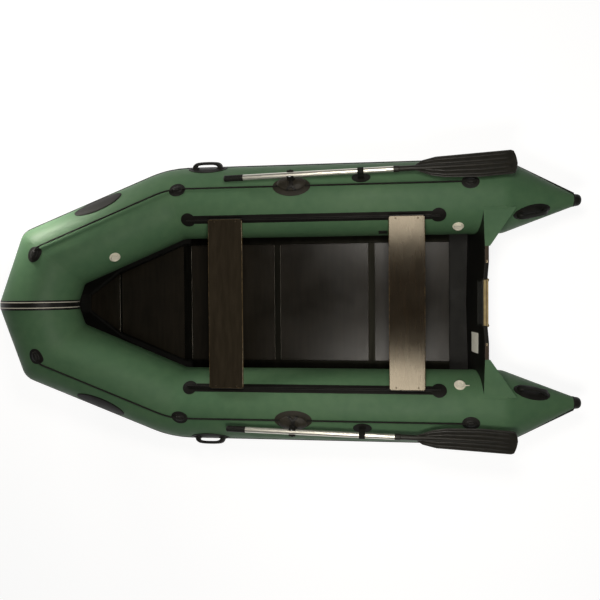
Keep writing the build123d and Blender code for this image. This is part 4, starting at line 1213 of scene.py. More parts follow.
# %% Strips, end patches and beads
rail_front, rail_aft = 532 * mm, -875 * mm
rail_angle = -33
rail_middle, rail_length = (rail_front + rail_aft) / 2, rail_front - rail_aft
rail = Shape()
rail_place = side_run.wrap(on_side(rail_middle), rail_angle)
rail.add(glued(rail_place, rounded_box(rail_length, 50 * mm, 3 * mm), 2.2 * mm, 0.8 * mm))
for end in (-1, 1):
    disc = moved(oval(84 * mm, 84 * mm), end * rail_length / 2, 0)
    rail.add(glued(rail_place, disc, 2.9 * mm, 0.9 * mm))
bead_radius, bead_centre = 5, 13
bead_section = [(9, 1.8), (4, 2.8), (1.8, 4.6), (1.6, 8.2)]
for turn in (math.radians(degrees) for degrees in range(20, 345, 20)):
    spot = (bead_radius * math.sin(turn), bead_centre - bead_radius * math.cos(turn))
    bead_section.append(spot)
bead_section += [(-1.6, 8.2), (-1.8, 4.6), (-4, 2.8), (-9, 1.8)]
bead_rings = []
for step in range(41):
    reach = (rail_length / 2 + 10 * mm) * (step / 20 - 1)
    end_frame = side_run.frame(on_side(rail_middle) + reach, rail_angle)
    bead_rings.append([end_frame @ Vector((0, v * mm, w * mm)) for v, w in bead_section])
rail.add(loft(bead_rings))
make_pair("bench_rail_strip", rail, black_fabric, ["bench_rail"])

# %% [markdown]
# ## Benches
#
# Each bench is a plank of the same film-faced plywood. Its rims are routed round, and
# there the film is gone and the varnished wood shows as a thin tan line. The wear mask
# is the distance to the plank's rim, measured in metres on its UV map, with some noise.
# The rear plank's film is drawn darker than the front one's: painted shade, standing for
# the dark reflection across its middle. Sliders under both ends close round the beads of
# the rails.

# %% Bench material
bench_width, bench_length, bench_thickness = 195 * mm, 950 * mm, 20 * mm


def bench_film(name, colour, worn):
    """Film-faced plank whose rim is rubbed down to varnished wood."""
    warm = srgb("fff1d8")
    material, tree, shader = new_material(
        name, ior=1.5, specular_ior_level=0.34, specular_tint=warm
    )
    place = node(tree, "ShaderNodeTexCoord").outputs["Object"]
    flat = node(tree, "ShaderNodeUVMap", uv_map="metres").outputs["UV"]
    sides = node(tree, "ShaderNodeVectorMath", {0: flat}, operation="ABSOLUTE").outputs[0]
    parts = node(tree, "ShaderNodeSeparateXYZ", {"Vector": sides})
    gaps = []
    for axis, half in (("X", bench_width / 2), ("Y", bench_length / 2)):
        gap = {0: half, 1: parts.outputs[axis]}
        gaps.append(node(tree, "ShaderNodeMath", gap, operation="SUBTRACT").outputs[0])
    rim = node(tree, "ShaderNodeMath", {0: gaps[0], 1: gaps[1]}, operation="MINIMUM").outputs[0]
    ragged = blotches(tree, place, 0.03, -1.2 * mm, 1.2 * mm, detail=6.0)
    uneven = node(tree, "ShaderNodeMath", {0: rim, 1: ragged}, operation="ADD").outputs[0]
    fade = {"Value": uneven, "From Min": 1.0 * mm, "From Max": 2.6 * mm}
    fade |= {"To Min": 0.8, "To Max": 0.0}
    bare = node(tree, "ShaderNodeMapRange", fade).outputs["Result"]
    stretch = node(tree, "ShaderNodeMapping", {"Vector": place, "Scale": (1, 0.15, 1)})
    grain = blotches(tree, stretch.outputs["Vector"], 20 * mm, 0.0, 1.0, detail=6.0)
    tones = {0: grain, 6: srgb(colour), 7: srgb(worn)}
    film = node(tree, "ShaderNodeMix", tones, data_type="RGBA").outputs[2]
    tones = {0: bare, 6: film, 7: srgb("6f5d40")}
    tint = node(tree, "ShaderNodeMix", tones, data_type="RGBA").outputs[2]
    veneer = {"Height": grain, "Distance": 0.12 * mm}
    veneer = node(tree, "ShaderNodeBump", veneer).outputs["Normal"]
    gloss = blotches(tree, place, 0.2, 0.14, 0.19)
    fill(tree, shader, {"Base Color": tint, "Roughness": gloss, "Normal": veneer})
    return material


print("bench", round(bench_length, 3), "by", round(bench_width, 3), "m")

# %% Planks and screws
brown_screw = bare_metal("steel screw, bronzed", "4a4034", "332c24", 0.4)
screw_profile = [(5, -1), (5, 0.2), (4.6, 0.9), (1.8, 1.1), (1.6, 0.3), (0.1, 0.3)]
# film tones per plank; the rear one's darker film is painted shade for the dark reflection across
# its middle
for name, colours in (("front_bench", ("252018", "2f2920")), ("rear_bench", ("17110a", "20180f"))):
    low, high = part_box(name)
    middle = Vector(((low.x + high.x) / 2, 0, low.z))
    stand = matrix_place(frame_at(middle, ahead, up))
    outline = rounded_box(bench_width, bench_length, 10 * mm)
    plank = Shape().add(slab(stand, outline, 0, bench_thickness, 3 * mm))
    film = bench_film(f"brown film-faced plywood, {name.replace('_', ' ')}", *colours)
    make_piece(f"{name}_plank", plank, film, [name], name)
    screws = Shape()
    for side in (-1, 1):
        for across in (-60 * mm, 60 * mm):
            head = middle + Vector((across, side * 462 * mm, bench_thickness - 0.6 * mm))
            screws.add(turned(frame_at(head, ahead, up), in_mm(screw_profile), 20))
    make_piece(f"{name}_screws", screws, brown_screw, [], name)
    channel = softened(f"{name}_sliders", 0.8 * mm)
    make_piece(
        f"{name}_channels", channel, black_plastic, [f"{name}_sliders"], name
    )

# %% [markdown]
# ## Rowlock bases
#
# A moulded rubber base holds each rowlock: an oval flange glued to the tube, and a domed
# boss on it with a groove round its foot. A black plastic post with its braces is pressed
# into the base and takes the fork's pin, so it is a piece of its own. The boss's height is
# a profile over the oval, and one placing function sets wings and braces on the dome.

# %% Dome of the base
rowlock_x = -70 * mm
boss_length, boss_width = 165 * mm, 88 * mm
boss_place = side_run.wrap(on_side(rowlock_x), 21)
dome = [(0.0, 22), (0.45, 21.4), (0.62, 19), (0.74, 16), (0.84, 14.8), (0.93, 12)]
dome += [(0.98, 8), (1, 5), (1.001, 0)]


def dome_height(u, v):
    """Height of the boss over the tube's skin."""
    reach = math.hypot(u / (boss_length / 2), v / (boss_width / 2))
    for (near, high), (far, low) in zip(dome, dome[1:]):
        if reach <= far:
            return (high + (low - high) * (reach - near) / (far - near)) * mm
    return 0.0


def on_boss(u, v, w):
    """Place on the dome: u along the boat, v outboard, w proud of the dome."""
    return boss_place(u, v, dome_height(u, v) + w)


print("boss", round(dome_height(0, 0) / mm, 1), "mm high")

# %% Rubber base with its wings
boss_rings = [[boss_place(u, v, -4 * mm) for u, v in oval(boss_length, boss_width, 72)]]
for share, high in reversed(dome):
    share = max(share, 0.01)
    flat = toward_middle(oval(boss_length, boss_width, 72), share)
    boss_rings.append([boss_place(u, v, high * mm) for u, v in flat])
base = Shape().add(loft(boss_rings))
flange_place = side_run.wrap(on_side(rowlock_x), 17)
base.add(glued(flange_place, oval(213 * mm, 112 * mm, 72), 3.4 * mm, 1.4 * mm))
for side in (-1, 1):
    wing = moved(rounded_box(46 * mm, 40 * mm, 12 * mm), side * 44 * mm, -3 * mm)
    base.add(glued(on_boss, wing, 1.6 * mm, 1.2 * mm))
base_rubber = moulded_rubber("brown-black moulded rubber", "26231c", "343027", 0.5)
make_pair("rowlock_base_moulded", base, base_rubber, ["rowlock_base"])

# %% Plastic post with its braces, and the pin's place
post = Shape()
for side in (-1, 1):
    for step in range(4):
        spot = (side * (9 + 4.4 * step) * mm, (-27 - 4.2 * step) * mm)
        foot = moved(oval(16 * mm, 13 * mm, 20), *spot)
        post.add(glued(on_boss, foot, (5.5 - 0.6 * step) * mm, 2 * mm))
post.add(glued(on_boss, moved(rounded_box(24 * mm, 52 * mm, 7 * mm), 0, -4 * mm), 5 * mm, 2 * mm))
tilt, pin_angle = math.radians(20), 28
pin_axis = Vector((0, math.sin(tilt), math.cos(tilt)))
pin_foot = side_run.skin(on_side(rowlock_x), pin_angle)
oar_centre = pin_foot + pin_axis * (58 * mm)
post_frame = frame_at(pin_foot, ahead, pin_axis)
post_profile = [(24, -4), (24, 20), (22.4, 23), (21.6, 26), (21.4, 33), (20.4, 35), (18, 36.4)]
post_profile += [(0.1, 36.6)]
post.add(turned(post_frame, in_mm(post_profile)))
make_pair("rowlock_post_moulded", post, black_plastic, ["rowlock_base"])

# %% [markdown]
# ## Oars
#
# Each oar lies in an open fork on its rowlock, and the fork's horns hug the shaft. The
# shaft is brushed aluminium tube, the grip is ribbed rubber and the blade is glass-filled nylon.
# Everything on an oar is placed by its distance aft of the rowlock, its offset outboard
# and its height over the blade's plane.

# %% Place things on an oar
splay = math.radians(1.8)
swing = Vector((0, math.cos(tilt), -math.sin(tilt)))
oar_aft = -ahead * math.cos(splay) + swing * math.sin(splay)
oar_outboard = ahead * math.sin(splay) + swing * math.cos(splay)
oar_bodies = ("port_oar", "starboard_oar")


def on_oar(along, outboard, lift):
    """Place on the port oar: aft of the rowlock, outboard, and over the blade's plane."""
    return oar_centre + oar_aft * along + oar_outboard * outboard + pin_axis * lift


def turned_on_oar(profile, count=40):
    """Solid of revolution about the shaft, from (radius, distance aft) points."""
    rings = []
    for radius, along in profile:
        circle = oval(2 * radius * mm, 2 * radius * mm, count)
        rings.append([on_oar(along * mm, u, v) for u, v in circle])
    return loft(rings)


print("port oar turns about", [round(c, 3) for c in oar_centre])

# %% Forks with their horns
fork = softened("rowlock_fork_port", 1.2 * mm)
for side, height, reach in ((-1, 25, 5.5), (1, 17, 9)):
    rings = []
    for share in (0, 0.25, 0.5, 0.7, 0.85, 0.95, 1.0):
        size = math.sqrt(max(0.02, 1 - share**2.4))
        ring = rounded_box(28 * mm * size, 11 * mm * size, 3.6 * mm * size, 4)
        middle = side * (18.4 + reach * share**1.5) * mm
        level = (-14 + (height + 6) * share) * mm
        rings.append([on_oar(u, middle + v, level) for u, v in ring])
    fork.add(loft(rings))
make_pair("rowlock_fork_horned", fork, black_plastic, ["rowlock_fork"], oar_bodies)
pin_tips = Shape()
tip_frame = frame_at(on_oar(0, -19.4 * mm, 0), oar_aft, pin_axis)
tip_profile = [(4.4, 6), (4.4, 13.5), (4, 15.2), (2.6, 16.2), (0.1, 16.6)]
pin_tips.add(turned(tip_frame, in_mm(tip_profile), 24))
make_pair("rowlock_pin_tip", pin_tips, steel, [], oar_bodies)

# %% Shafts and grips
brushed_tube = bare_metal(
    "brushed aluminium tube, anodised clear", "dcdad0", "b9b6aa", 0.36, streak=(0.08, 1, 1)
)
shaft_radius = 16
shaft_profile = [(14, -266), (shaft_radius, -266), (shaft_radius, 570), (shaft_radius, 590)]
shaft = Shape().add(turned_on_oar(shaft_profile))
make_pair("oar_shaft_tube", shaft, brushed_tube, ["oar_shaft"], oar_bodies)
grip_profile = [(0.1, -374), (8, -373.8), (13, -372.4), (16, -369.4), (17.5, -365)]
for rib in range(16):
    start = -362 + rib * 5.4
    grip_profile += [(17.5, start), (17.5, start + 2.9), (16.6, start + 3.4), (16.6, start + 4.8)]
grip_profile += [(18.2, -275), (18.6, -273), (18.6, -266), (18, -264.6), (16.1, -264.4)]
grip = Shape().add(turned_on_oar(grip_profile))
make_pair("oar_grip_ribbed", grip, black_rubber, ["oar_grip"], oar_bodies)

# %% [markdown]
# ## Oar blades
#
# The blade's outline is not symmetric: the outboard edge is nearly straight and the
# inboard edge bellies out. Two polylines give both edges as distances from the neck. At
# each station the skin runs from one edge to the other, with a rounded rim, five ribs
# that fan out from the neck and a rolled lip, and a tapering spine lies along the middle.

# %% Edges and thickness of a blade
blade_neck, blade_reach = 572, 642
outboard_edge = [(100, 12), (143, 42), (218, 60), (614, 75), (628, 68), (637, 40), (642, -5)]
inboard_edge = [(100, -12), (193, -53), (263, -67), (453, -77), (618, -68), (628, -60)]
inboard_edge += [(636, -40), (642, -8)]
rib_shares = (0.14, 0.32, 0.5, 0.68, 0.86)
nylon = moulded_plastic("black glass-filled nylon", "1c1b16", "2a2822", 0.42)


def edge_offset(edge, along):
    """Offset of an edge at a distance from the neck."""
    for (start, first), (end, last) in zip(edge, edge[1:]):
        if along <= end:
            return first + (last - first) * (along - start) / (end - start)
    return edge[-1][1]


def blade_height(share, along, width):
    """Height of the upper skin over the blade's plane, in millimetres."""
    to_edge = min(share, 1 - share) * width
    to_tip = blade_reach - along
    rim = min(to_edge, to_tip)
    outer_side = math.exp(-((max(0.0, 4 - rim) / 2.4) ** 2))
    inner_side = math.exp(-((max(0.0, rim - 4) / 3) ** 2))
    height = 2.0 + 1.6 * outer_side * inner_side
    fade = min(1, max(0, (along - 120) / 60)) * min(1, max(0, (608 - along) / 30))
    for rib in rib_shares:
        distance = abs(share - rib) * width
        height += 1.7 * fade * math.exp(-((distance / 2.6) ** 4))
    return height * (1 - math.exp(-((rim + 0.4) / 1.2)))


print("blade", blade_reach - outboard_edge[0][0], "mm from its shoulder to its tip")

# %% Skin of a blade
blade_rings = []
across = 72
blade_stations = [100 + 6.5 * step for step in range(80)]
blade_stations += [620, 624, 628, 632, 635, 638, 640, 641, 641.8]
for along in blade_stations:
    low, high = edge_offset(inboard_edge, along), edge_offset(outboard_edge, along)
    top, bottom = [], []
    for column in range(across + 1):
        share = column / across
        offset = low + (high - low) * share
        lift = blade_height(share, along, high - low)
        top.append(on_oar((blade_neck + along) * mm, offset * mm, lift * mm))
        bottom.append(on_oar((blade_neck + along) * mm, offset * mm, -lift * 0.75 * mm))
    blade_rings.append(top + bottom[::-1])
blade = Shape().add(loft(blade_rings))

# %% Spine of a blade
spine = [(17.6, 17.6, -9), (18, 18, -7), (18, 18, 18), (16.6, 16.6, 21), (15, 15, 26), (15, 15, 95)]
spine += [(15.5, 12, 130), (14, 9.4, 190), (12, 7.4, 280), (10, 6, 400), (8, 4.8, 520)]
spine += [(6, 3.6, 575), (3, 2.4, 588)]
spine_rings = []
for half_width, half_height, along in spine:
    ring = oval(2 * half_width * mm, 2 * half_height * mm, 40)
    spine_rings.append([on_oar((blade_neck + along) * mm, u, v) for u, v in ring])
blade.add(loft(spine_rings))
make_pair("oar_blade_ribbed", blade, nylon, ["oar_blade"], oar_bodies)

# %% [markdown]
# ## Oar clips
#
# A soft rubber clip glued on each tube grips the shaft while the oar is stowed, and stays
# on the tube when the oar swings. The engineering solid has its full shape, so only its
# edges are broken.

# %% Oar clips
clip = softened("oar_clip_port", 1.0 * mm)
make_pair("oar_clip_moulded", clip, black_rubber, ["oar_clip"])

# %% [markdown]
# ## Grab line and its rings
#
# A braided line runs along each side through moulded rings, and under the rowlock's base.
# Its route is one lengthwise line of the hull, a little proud of the skin. The braid is
# two sets of crossing strands on the line's own UV map.

# %% Braid material
strand = 4.5 * mm  # a real strand is finer; this one is drawn wide enough to show


def braided_line(name, colour, worn):
    """Cord whose strands cross in two directions."""
    material, tree, shader = new_material(name, roughness=0.8, specular_ior_level=0.2)
    flat = node(tree, "ShaderNodeUVMap", uv_map="metres").outputs["UV"]
    waves = []
    for turn in (40, -40):
        lean = {"Vector": flat, "Rotation": (0, 0, math.radians(turn))}
        leaning = node(tree, "ShaderNodeMapping", lean).outputs["Vector"]
        pitch = {"Vector": leaning, "Scale": 1 / (strand * wave_bands)}
        waves.append(node(tree, "ShaderNodeTexWave", pitch).outputs["Fac"])
    both = {0: waves[0], 1: waves[1]}
    crossed = node(tree, "ShaderNodeMath", both, operation="MAXIMUM").outputs[0]
    tones = {0: crossed, 6: srgb(colour), 7: srgb(worn)}
    tint = node(tree, "ShaderNodeMix", tones, data_type="RGBA").outputs[2]
    strands = {"Height": crossed, "Distance": 0.8 * mm, "Strength": 0.9}
    strands = node(tree, "ShaderNodeBump", strands).outputs["Normal"]
    fill(tree, shader, {"Base Color": tint, "Normal": strands})
    return material


black_braid = braided_line("black braided polypropylene", "0b0b0a", "201f1c")
print("strand drawn", round(strand / mm, 1), "mm wide")

# %% Run the line in two stretches a side
rope_angle, rope_lift, rope_radius = 16.5, 9 * mm, 4.5 * mm
rope_route = skin_line(rope_angle, rope_lift)
bow_ring = rope_route[3] + front_run.axis * (36 * mm)


def rope_points(segment, start, end, count):
    """Places along the line on one run; start and end are distances along its own line."""
    length = (rope_route[segment + 1] - rope_route[segment]).length
    shares = [(start + (end - start) * step / count) / length for step in range(count + 1)]
    return [along_line(rope_route, segment, share, rope_angle) for share in shares]


side_length = (rope_route[2] - rope_route[1]).length
bow_length = (rope_route[3] - rope_route[2]).length
rowlock_along = on_side(rowlock_x)
aft_stretch = rope_points(1, on_side(-1065 * mm), rowlock_along - 78 * mm, 60)
fore_stretch = rope_points(1, rowlock_along + 78 * mm, side_length, 60)
fore_stretch += rope_points(2, 0, bow_length, 80)[1:] + rope_points(3, 0, 59 * mm, 24)[1:]
line_shape = Shape()
for stretch, spots in (("aft", aft_stretch), ("fore", fore_stretch)):
    line_shape.add(bent_rod(spots, rope_radius))
    run_length = sum((after - before).length for before, after in zip(spots, spots[1:]))
    print(f"grab line, {stretch} stretch: {run_length:.3f} m a side")
knot = [(0.1, -9), (5, -8.6), (7.6, -6), (8.4, -2), (7, 1), (8.2, 4), (7, 7.4), (4.4, 9)]
knot += [(0.1, 9.2)]
for place, toward in ((aft_stretch[0], aft_stretch[1]), (fore_stretch[-1], fore_stretch[-2])):
    knot_frame = frame_at(place, up, toward - place)
    line_shape.add(turned(knot_frame, in_mm(knot), 20))
make_pair("grab_line_braided", line_shape, black_braid, ["lifeline"])

# %% Rings on oval feet
rings = Shape()
dome_steps = [(0, 0), (0, 4), (1.2, 5.6), (4, 6.8), (9, 7.6)]
dome_crown = [(0.6, 8.2 * mm), (0.2, 8.4 * mm)]
saddle_steps = [(0, -3), (0, 8), (0.7, 11.5), (2, 14), (4.2, 15.6), (6.6, 16.2)]
saddle_crown = [(0.5, 16.6 * mm), (0.1, 16.8 * mm)]
stern_spot = Vector((-1043 * mm, rope_route[1].y, rope_route[1].z))
shoulder_spot = Vector((588 * mm, rope_route[1].y, rope_route[1].z))
for run, spot in ((side_run, stern_spot), (side_run, shoulder_spot), (front_run, bow_ring)):
    along, angle = run.locate(spot)
    foot = run.wrap(along, angle)
    rings.add(glued(foot, oval(96 * mm, 75 * mm), 2.8 * mm, 1.2 * mm))
    rings.add(contour(foot, oval(62 * mm, 42 * mm), in_mm(dome_steps), dome_crown))
    saddle = rounded_box(36 * mm, 24 * mm, 8 * mm)
    rings.add(contour(foot, saddle, in_mm(saddle_steps), saddle_crown))
make_pair("grab_line_ring", rings, black_rubber, ["lifeline_rings"])

# %% [markdown]
# ## Carrying handles
#
# Each handle is an oval patch with a thick moulded grip that arches over it on two broad
# feet. The arch is one ring of a rounded rectangle carried along a path: up from one
# foot, over the crown and down to the other.

# %% Arched grip on its patch
grip_reach = 74  # from a handle's middle to the middle of each foot of its grip, in mm


def carrying_handle(patch, stand, patch_length, patch_width):
    """Patch on one placing function and an arched grip on another."""
    shape = Shape()
    shape.add(glued(patch, oval(patch_length, patch_width, 64), 2.9 * mm, 1.2 * mm))
    for end in (-1, 1):
        foot = moved(oval(52 * mm, 40 * mm, 32), end * 76 * mm, 0)
        shape.add(glued(patch, foot, 6.5 * mm, 2.6 * mm))
    path = []
    for step in range(41):
        turn = math.pi * step / 40
        flat_cosine = math.copysign(abs(math.cos(turn)) ** 0.62, math.cos(turn))
        path.append((-flat_cosine * grip_reach * mm, (-4 + 36 * math.sin(turn) ** 0.5) * mm))
    rings = []
    for index, (u, w) in enumerate(path):
        before, after = path[max(0, index - 1)], path[min(len(path) - 1, index + 1)]
        along = Vector((after[0] - before[0], after[1] - before[1])).normalized()
        swell = 1 + 0.9 * (abs(u) / (grip_reach * mm)) ** 6
        ring = rounded_box(15 * mm * swell, 25 * mm * min(swell, 1.25), 6 * mm, 4)
        rings.append([stand(u - along.y * a, b, w + along.x * a) for a, b in ring])
    shape.add(loft(rings))
    return shape


print("grip", 2 * grip_reach, "mm between the middles of its feet")

# %% Side handles
side_handle_x, side_handle_angle = 437 * mm, 67.08
side_spot = side_run.frame(on_side(side_handle_x), side_handle_angle)
side_patch = side_run.wrap(on_side(side_handle_x), side_handle_angle)
handle = carrying_handle(side_patch, matrix_place(side_spot), 230 * mm, 120 * mm)
make_pair("side_handle_moulded", handle, black_rubber, ["side_handle"])

# %% Handles on the cones
aft_origin = Vector((-1374.0 * mm, 489.613 * mm, 334.099 * mm))
aft_along = Vector((0.95328, -0.18859, 0.23599))
aft_out = Vector((-0.30208, -0.59992, 0.74084))
aft_frame = frame_at(aft_origin, aft_along, aft_out)


def on_cone(u, v, w):
    """Flat pattern round the cone at the aft handle: u along, v across, w proud."""
    point = aft_origin + aft_along * u
    share = (point.x - cone_tip.x) / (cone_base.x - cone_tip.x)
    middle = cone_tip.lerp(cone_base, share)
    spoke = point - middle
    radius = spoke.length
    turned_spoke = Matrix.Rotation(v / radius, 3, axes[0]) @ spoke
    return middle + turned_spoke.normalized() * (radius + w)


handle = carrying_handle(on_cone, matrix_place(aft_frame), 212 * mm, 88 * mm)
make_pair("aft_handle_moulded", handle, black_rubber, ["aft_handle"])

# %% [markdown]
# ## Valves, patches and plates
#
# Three valves have a wide flange and a knurled screw cap with a ring round it, and the
# port one shows the tab of its tether. The oval patches at the bow and the plates stay
# blank here: no name or mark is drawn on any of them.

# %% Valve with its cap
white_plastic = moulded_plastic("white moulded polyamide, yellowed", "e6e2d2", "d0ccb8", 0.4)
valve_flange = [(31, -3), (31, 1.6), (30, 2.8), (27, 3.2), (24.6, 3.2), (0.1, 3.2)]
valve_cap = [(24, 4), (23.4, 4.6), (23, 11.6), (22, 12.8), (20, 13.2), (15, 12.6), (14, 11.4)]
valve_cap += [(8, 11.2), (7.4, 12.4), (0.1, 12.6)]


def valve(run, along, angle, tether=False):
    """Flanged valve with a knurled cap on a run of tube, and the tab of its tether."""
    shape = Shape()
    seat = run.frame(along, angle)
    shape.add(turned(seat, in_mm(valve_flange), 48))
    rings = []
    for radius, height in valve_cap:
        teeth = 0.9 if 4.5 < height < 12 and radius > 20 else 0.0
        ring = []
        for index in range(96):
            turn = math.tau * index / 96
            reach = (radius - teeth * (index % 4 < 2)) * mm
            spoke = Vector((reach * math.cos(turn), reach * math.sin(turn), height * mm))
            ring.append(seat @ spoke)
        rings.append(ring)
    shape.add(loft(rings))
    loop = []
    for step in range(25):
        turn = math.pi * (0.15 + 1.2 * step / 24)
        loop.append(seat @ Vector((26.5 * mm * math.cos(turn), 26.5 * mm * math.sin(turn), 4 * mm)))
    shape.add(bent_rod(loop, 1.3 * mm, 8))
    if tether:
        tab = moved(rounded_box(24 * mm, 6 * mm, 2 * mm), -40 * mm, 3 * mm)
        shape.add(slab(matrix_place(seat), tab, -0.5 * mm, 1.6 * mm, 0.4 * mm))
    return shape


print("valve", 2 * valve_flange[0][0], "mm across its flange")

# %% The three valves
bow_valve_shape = valve(bow_run, 450 * mm, -52).mirrored()
make_piece("bow_valve_capped", bow_valve_shape, white_plastic, ["bow_valve"])
port_valve = valve(side_run, on_side(-988 * mm), -43, tether=True)
make_piece(
    "stern_valve_port_capped", port_valve, white_plastic, ["stern_valve_port"]
)
starboard_valve = valve(side_run, on_side(-985 * mm), -56).mirrored()
make_piece(
    "stern_valve_starboard_capped", starboard_valve, white_plastic, ["stern_valve_starboard"],
)

# %% Bare name patches
names = Shape()
name_place = bow_run.wrap(410 * mm, 48)
name_outline = oval(290 * mm, 120 * mm, 72)
names.add(glued(name_place, name_outline, 2.8 * mm, 1.2 * mm))
rim_steps = [(5, 2.6), (5, 3.5), (5.6, 3.8), (7.4, 3.8), (8, 3.5), (8, 2.6)]
names.add(contour(name_place, name_outline, in_mm(rim_steps)))
names.join(names.mirrored())
make_piece("name_patches_bare", names, black_fabric, ["name_patches"])

# %% Blank plates
plate_outline = moved(rounded_box(115 * mm, 140 * mm, 6 * mm), -229 * mm, 212.4 * mm)
plates = Shape().add(slab(on_inner_face, plate_outline, -0.2 * mm, 1.1 * mm, 0.3 * mm))
label_film = moulded_plastic("white printed vinyl, blank", "f4f2e8", "e2dfd2", 0.4)
make_piece("capacity_plate_blank", plates, label_film, ["label_plates"])
label_ink = moulded_plastic("dark printed vinyl, blank", "20211d", "2c2d28", 0.4)
label_place = side_run.wrap(on_side(-573 * mm), -70)
label_outline = rounded_box(50 * mm, 39 * mm, 4 * mm)
tube_label = Shape().add(glued(label_place, label_outline, 1 * mm, 0.3 * mm))
make_piece("tube_label_blank", tube_label.mirrored(), label_ink, [])

# %% [markdown]
# ## Tow eye and underside
#
# A stainless eye is bolted through the bow band for towing and mooring. Below, the bottom
# skin and its keel strip are the same coated cloth in black. They are flat and plain, so
# the engineering solids are kept as they are and only get the cloth's material, placed in
# metres because they carry no UV map of their own.

# %% Tow eye
eye = softened("tow_eye", 1.0 * mm)
make_piece("tow_eye_polished", eye, steel, ["tow_eye"])

# %% Underside in the same cloth
for name in ("bottom_skin", "keel_strip"):
    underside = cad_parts[name]
    underside.data.materials.clear()
    underside.data.materials.append(bottom_fabric)
    print(name, "kept, in black cloth")

# %% [markdown]
# ## Studio floor and walls
#
# The boat stands on a pale matt floor that keeps its shadow. The floor and the walls are
# white to the camera and in reflections, while everything else gets little light from
# them, so the lamps model the shapes. The Light Path node tells those rays apart.

# %% Pale floor that keeps the shadow
floor_grey = "8a8a8a"
floor_lift = 0.87  # light that the seen floor adds of its own, so that it reads as white


def studio_floor():
    """Pale matt floor, lifted to white for the camera and in reflections."""
    material, tree, shader = new_material("pale studio floor, painted", roughness=0.9)
    ray = node(tree, "ShaderNodeLightPath").outputs
    bounced = {0: ray["Is Glossy Ray"], 1: ray["Is Transmission Ray"]}
    bounced = node(tree, "ShaderNodeMath", bounced, operation="MAXIMUM").outputs[0]
    seen = {0: ray["Is Camera Ray"], 1: bounced}
    seen = node(tree, "ShaderNodeMath", seen, operation="MAXIMUM").outputs[0]
    lift = node(tree, "ShaderNodeMath", {0: seen, 1: floor_lift}, operation="MULTIPLY").outputs[0]
    white = (1, 1, 1, 1)
    sockets = {"Base Color": srgb(floor_grey), "Emission Color": white, "Emission Strength": lift}
    fill(tree, shader, sockets)
    return material


floor_half = 14.0
floor_mesh = bpy.data.meshes.new("floor")
floor_corners = ((-1, -1), (1, -1), (1, 1), (-1, 1))
floor_points = [(x * floor_half, y * floor_half, 0) for x, y in floor_corners]
floor_mesh.from_pydata(floor_points, [], [(0, 1, 2, 3)])
floor_mesh.materials.append(studio_floor())
floor = bpy.data.objects.new("floor", floor_mesh)
bpy.context.scene.collection.objects.link(floor)
floor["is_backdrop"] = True
print("studio floor", 2 * floor_half, "m wide")

# %% World: white walls, a dim ceiling
ceiling_light = 0.05
world = bpy.data.worlds.new("studio")
bpy.context.scene.world = world
world.use_nodes = True
sky = world.node_tree
ray = node(sky, "ShaderNodeLightPath").outputs
direction = node(sky, "ShaderNodeTexCoord").outputs["Generated"]
height = node(sky, "ShaderNodeSeparateXYZ", {"Vector": direction}).outputs["Z"]
wall = {"Value": height, "From Min": 0.05, "From Max": 0.3}
wall |= {"To Min": 1 - ceiling_light, "To Max": 0.0}
wall = node(sky, "ShaderNodeMapRange", wall).outputs["Result"]
bounces = {0: ray["Is Glossy Ray"], 1: ray["Is Transmission Ray"]}
bounced = node(sky, "ShaderNodeMath", bounces, operation="MAXIMUM").outputs[0]
walls = node(sky, "ShaderNodeMath", {0: bounced, 1: wall}, operation="MULTIPLY").outputs[0]
direct = {0: ray["Is Camera Ray"], 1: 1 - ceiling_light}
direct = node(sky, "ShaderNodeMath", direct, operation="MULTIPLY").outputs[0]
extra = node(sky, "ShaderNodeMath", {0: walls, 1: direct}, operation="MAXIMUM").outputs[0]
strength = node(sky, "ShaderNodeMath", {0: extra, 1: ceiling_light}, operation="ADD").outputs[0]
fill(sky, sky.nodes["Background"], {"Color": (1, 1, 1, 1), "Strength": strength})
print("light from every side", ceiling_light)

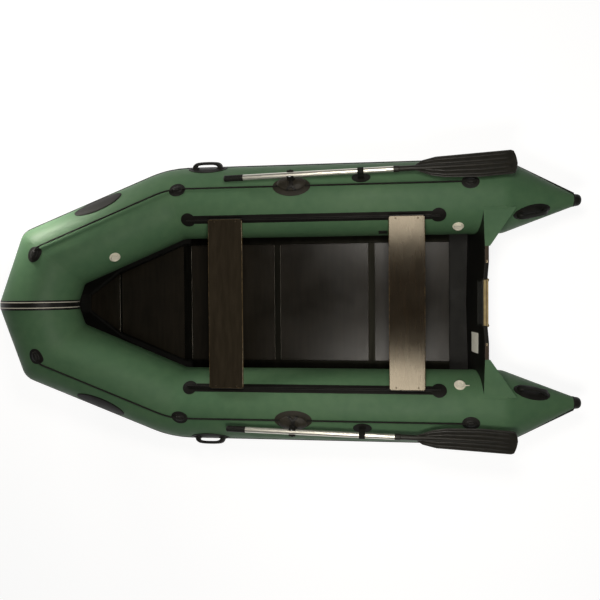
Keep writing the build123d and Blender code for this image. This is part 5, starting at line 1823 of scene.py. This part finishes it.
# %% [markdown]
# ## Lamps
#
# Two wide soft boxes hang over the boat, one on each side of the camera, so that the dark
# glossy boards show a reflection near their edges and stay deep in the middle. A third
# box stands low off the starboard bow and lights the facets there, and a small lamp with
# a narrow beam beside it adds the brighter patch on the bow tube.

# %% Soft boxes
warm_white = (1.0, 0.95, 0.87)
box_x, box_height = -0.6, 3.3


def soft_box(name, place, target, width, height, power, spread=180):
    """Rectangular lamp facing a point; spread is the full angle of its beam in degrees."""
    lamp = bpy.data.lights.new(name, "AREA")
    lamp.shape = "RECTANGLE"
    lamp.size, lamp.size_y, lamp.energy = width, height, power
    lamp.color = warm_white
    lamp.spread = math.radians(spread)
    box = bpy.data.objects.new(name, lamp)
    box.location = place
    box.rotation_euler = (Vector(target) - Vector(place)).to_track_quat("-Z", "Y").to_euler()
    bpy.context.scene.collection.objects.link(box)
    print(f"{name}: {power} W")


for name, y in (("port_box", 1.02), ("starboard_box", -0.96)):
    soft_box(name, (box_x, y, box_height), (box_x, y, 0), 0.8, 0.75, 39)
soft_box("bow_box", (2.35, -1.95, 0.95), (1.32, -0.42, 0.55), 0.8, 0.6, 36)
soft_box("bow_spot", (1.71, -1.0, 0.71), (1.34, -0.44, 0.52), 0.24, 0.16, 1.15, 55)

# %% [markdown]
# ## Camera
#
# The camera hangs about four metres up, a little aft of the middle, and looks down almost
# straight with the bow to its left. So the boat shows in plan, with a little of the inner
# face of the transom. The Standard view transform keeps the colours as they were chosen.

# %% Camera over the stern, looking down at the middle
camera_place = Vector((-0.6352, -0.1, 4.2122))
camera_target = Vector((-0.0869, -0.016, 0.2096))
camera_data = bpy.data.cameras.new("camera")
camera_data.lens = 41.38
camera_data.sensor_width = 36
camera = bpy.data.objects.new("camera", camera_data)
roll = Matrix.Rotation(math.radians(-0.27), 4, "Z")
aim = frame_at(camera_place, -ahead, camera_place - camera_target)
camera.matrix_world = aim @ roll
bpy.context.scene.collection.objects.link(camera)
bpy.context.scene.camera = camera
bpy.context.scene.view_settings.view_transform = "Standard"
print("camera", round((camera_place - camera_target).length, 2), "m from its target")

# %% Size of the visual model, and finish
low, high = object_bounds()
print("visual model", [round(c, 3) for c in high - low], "metres")
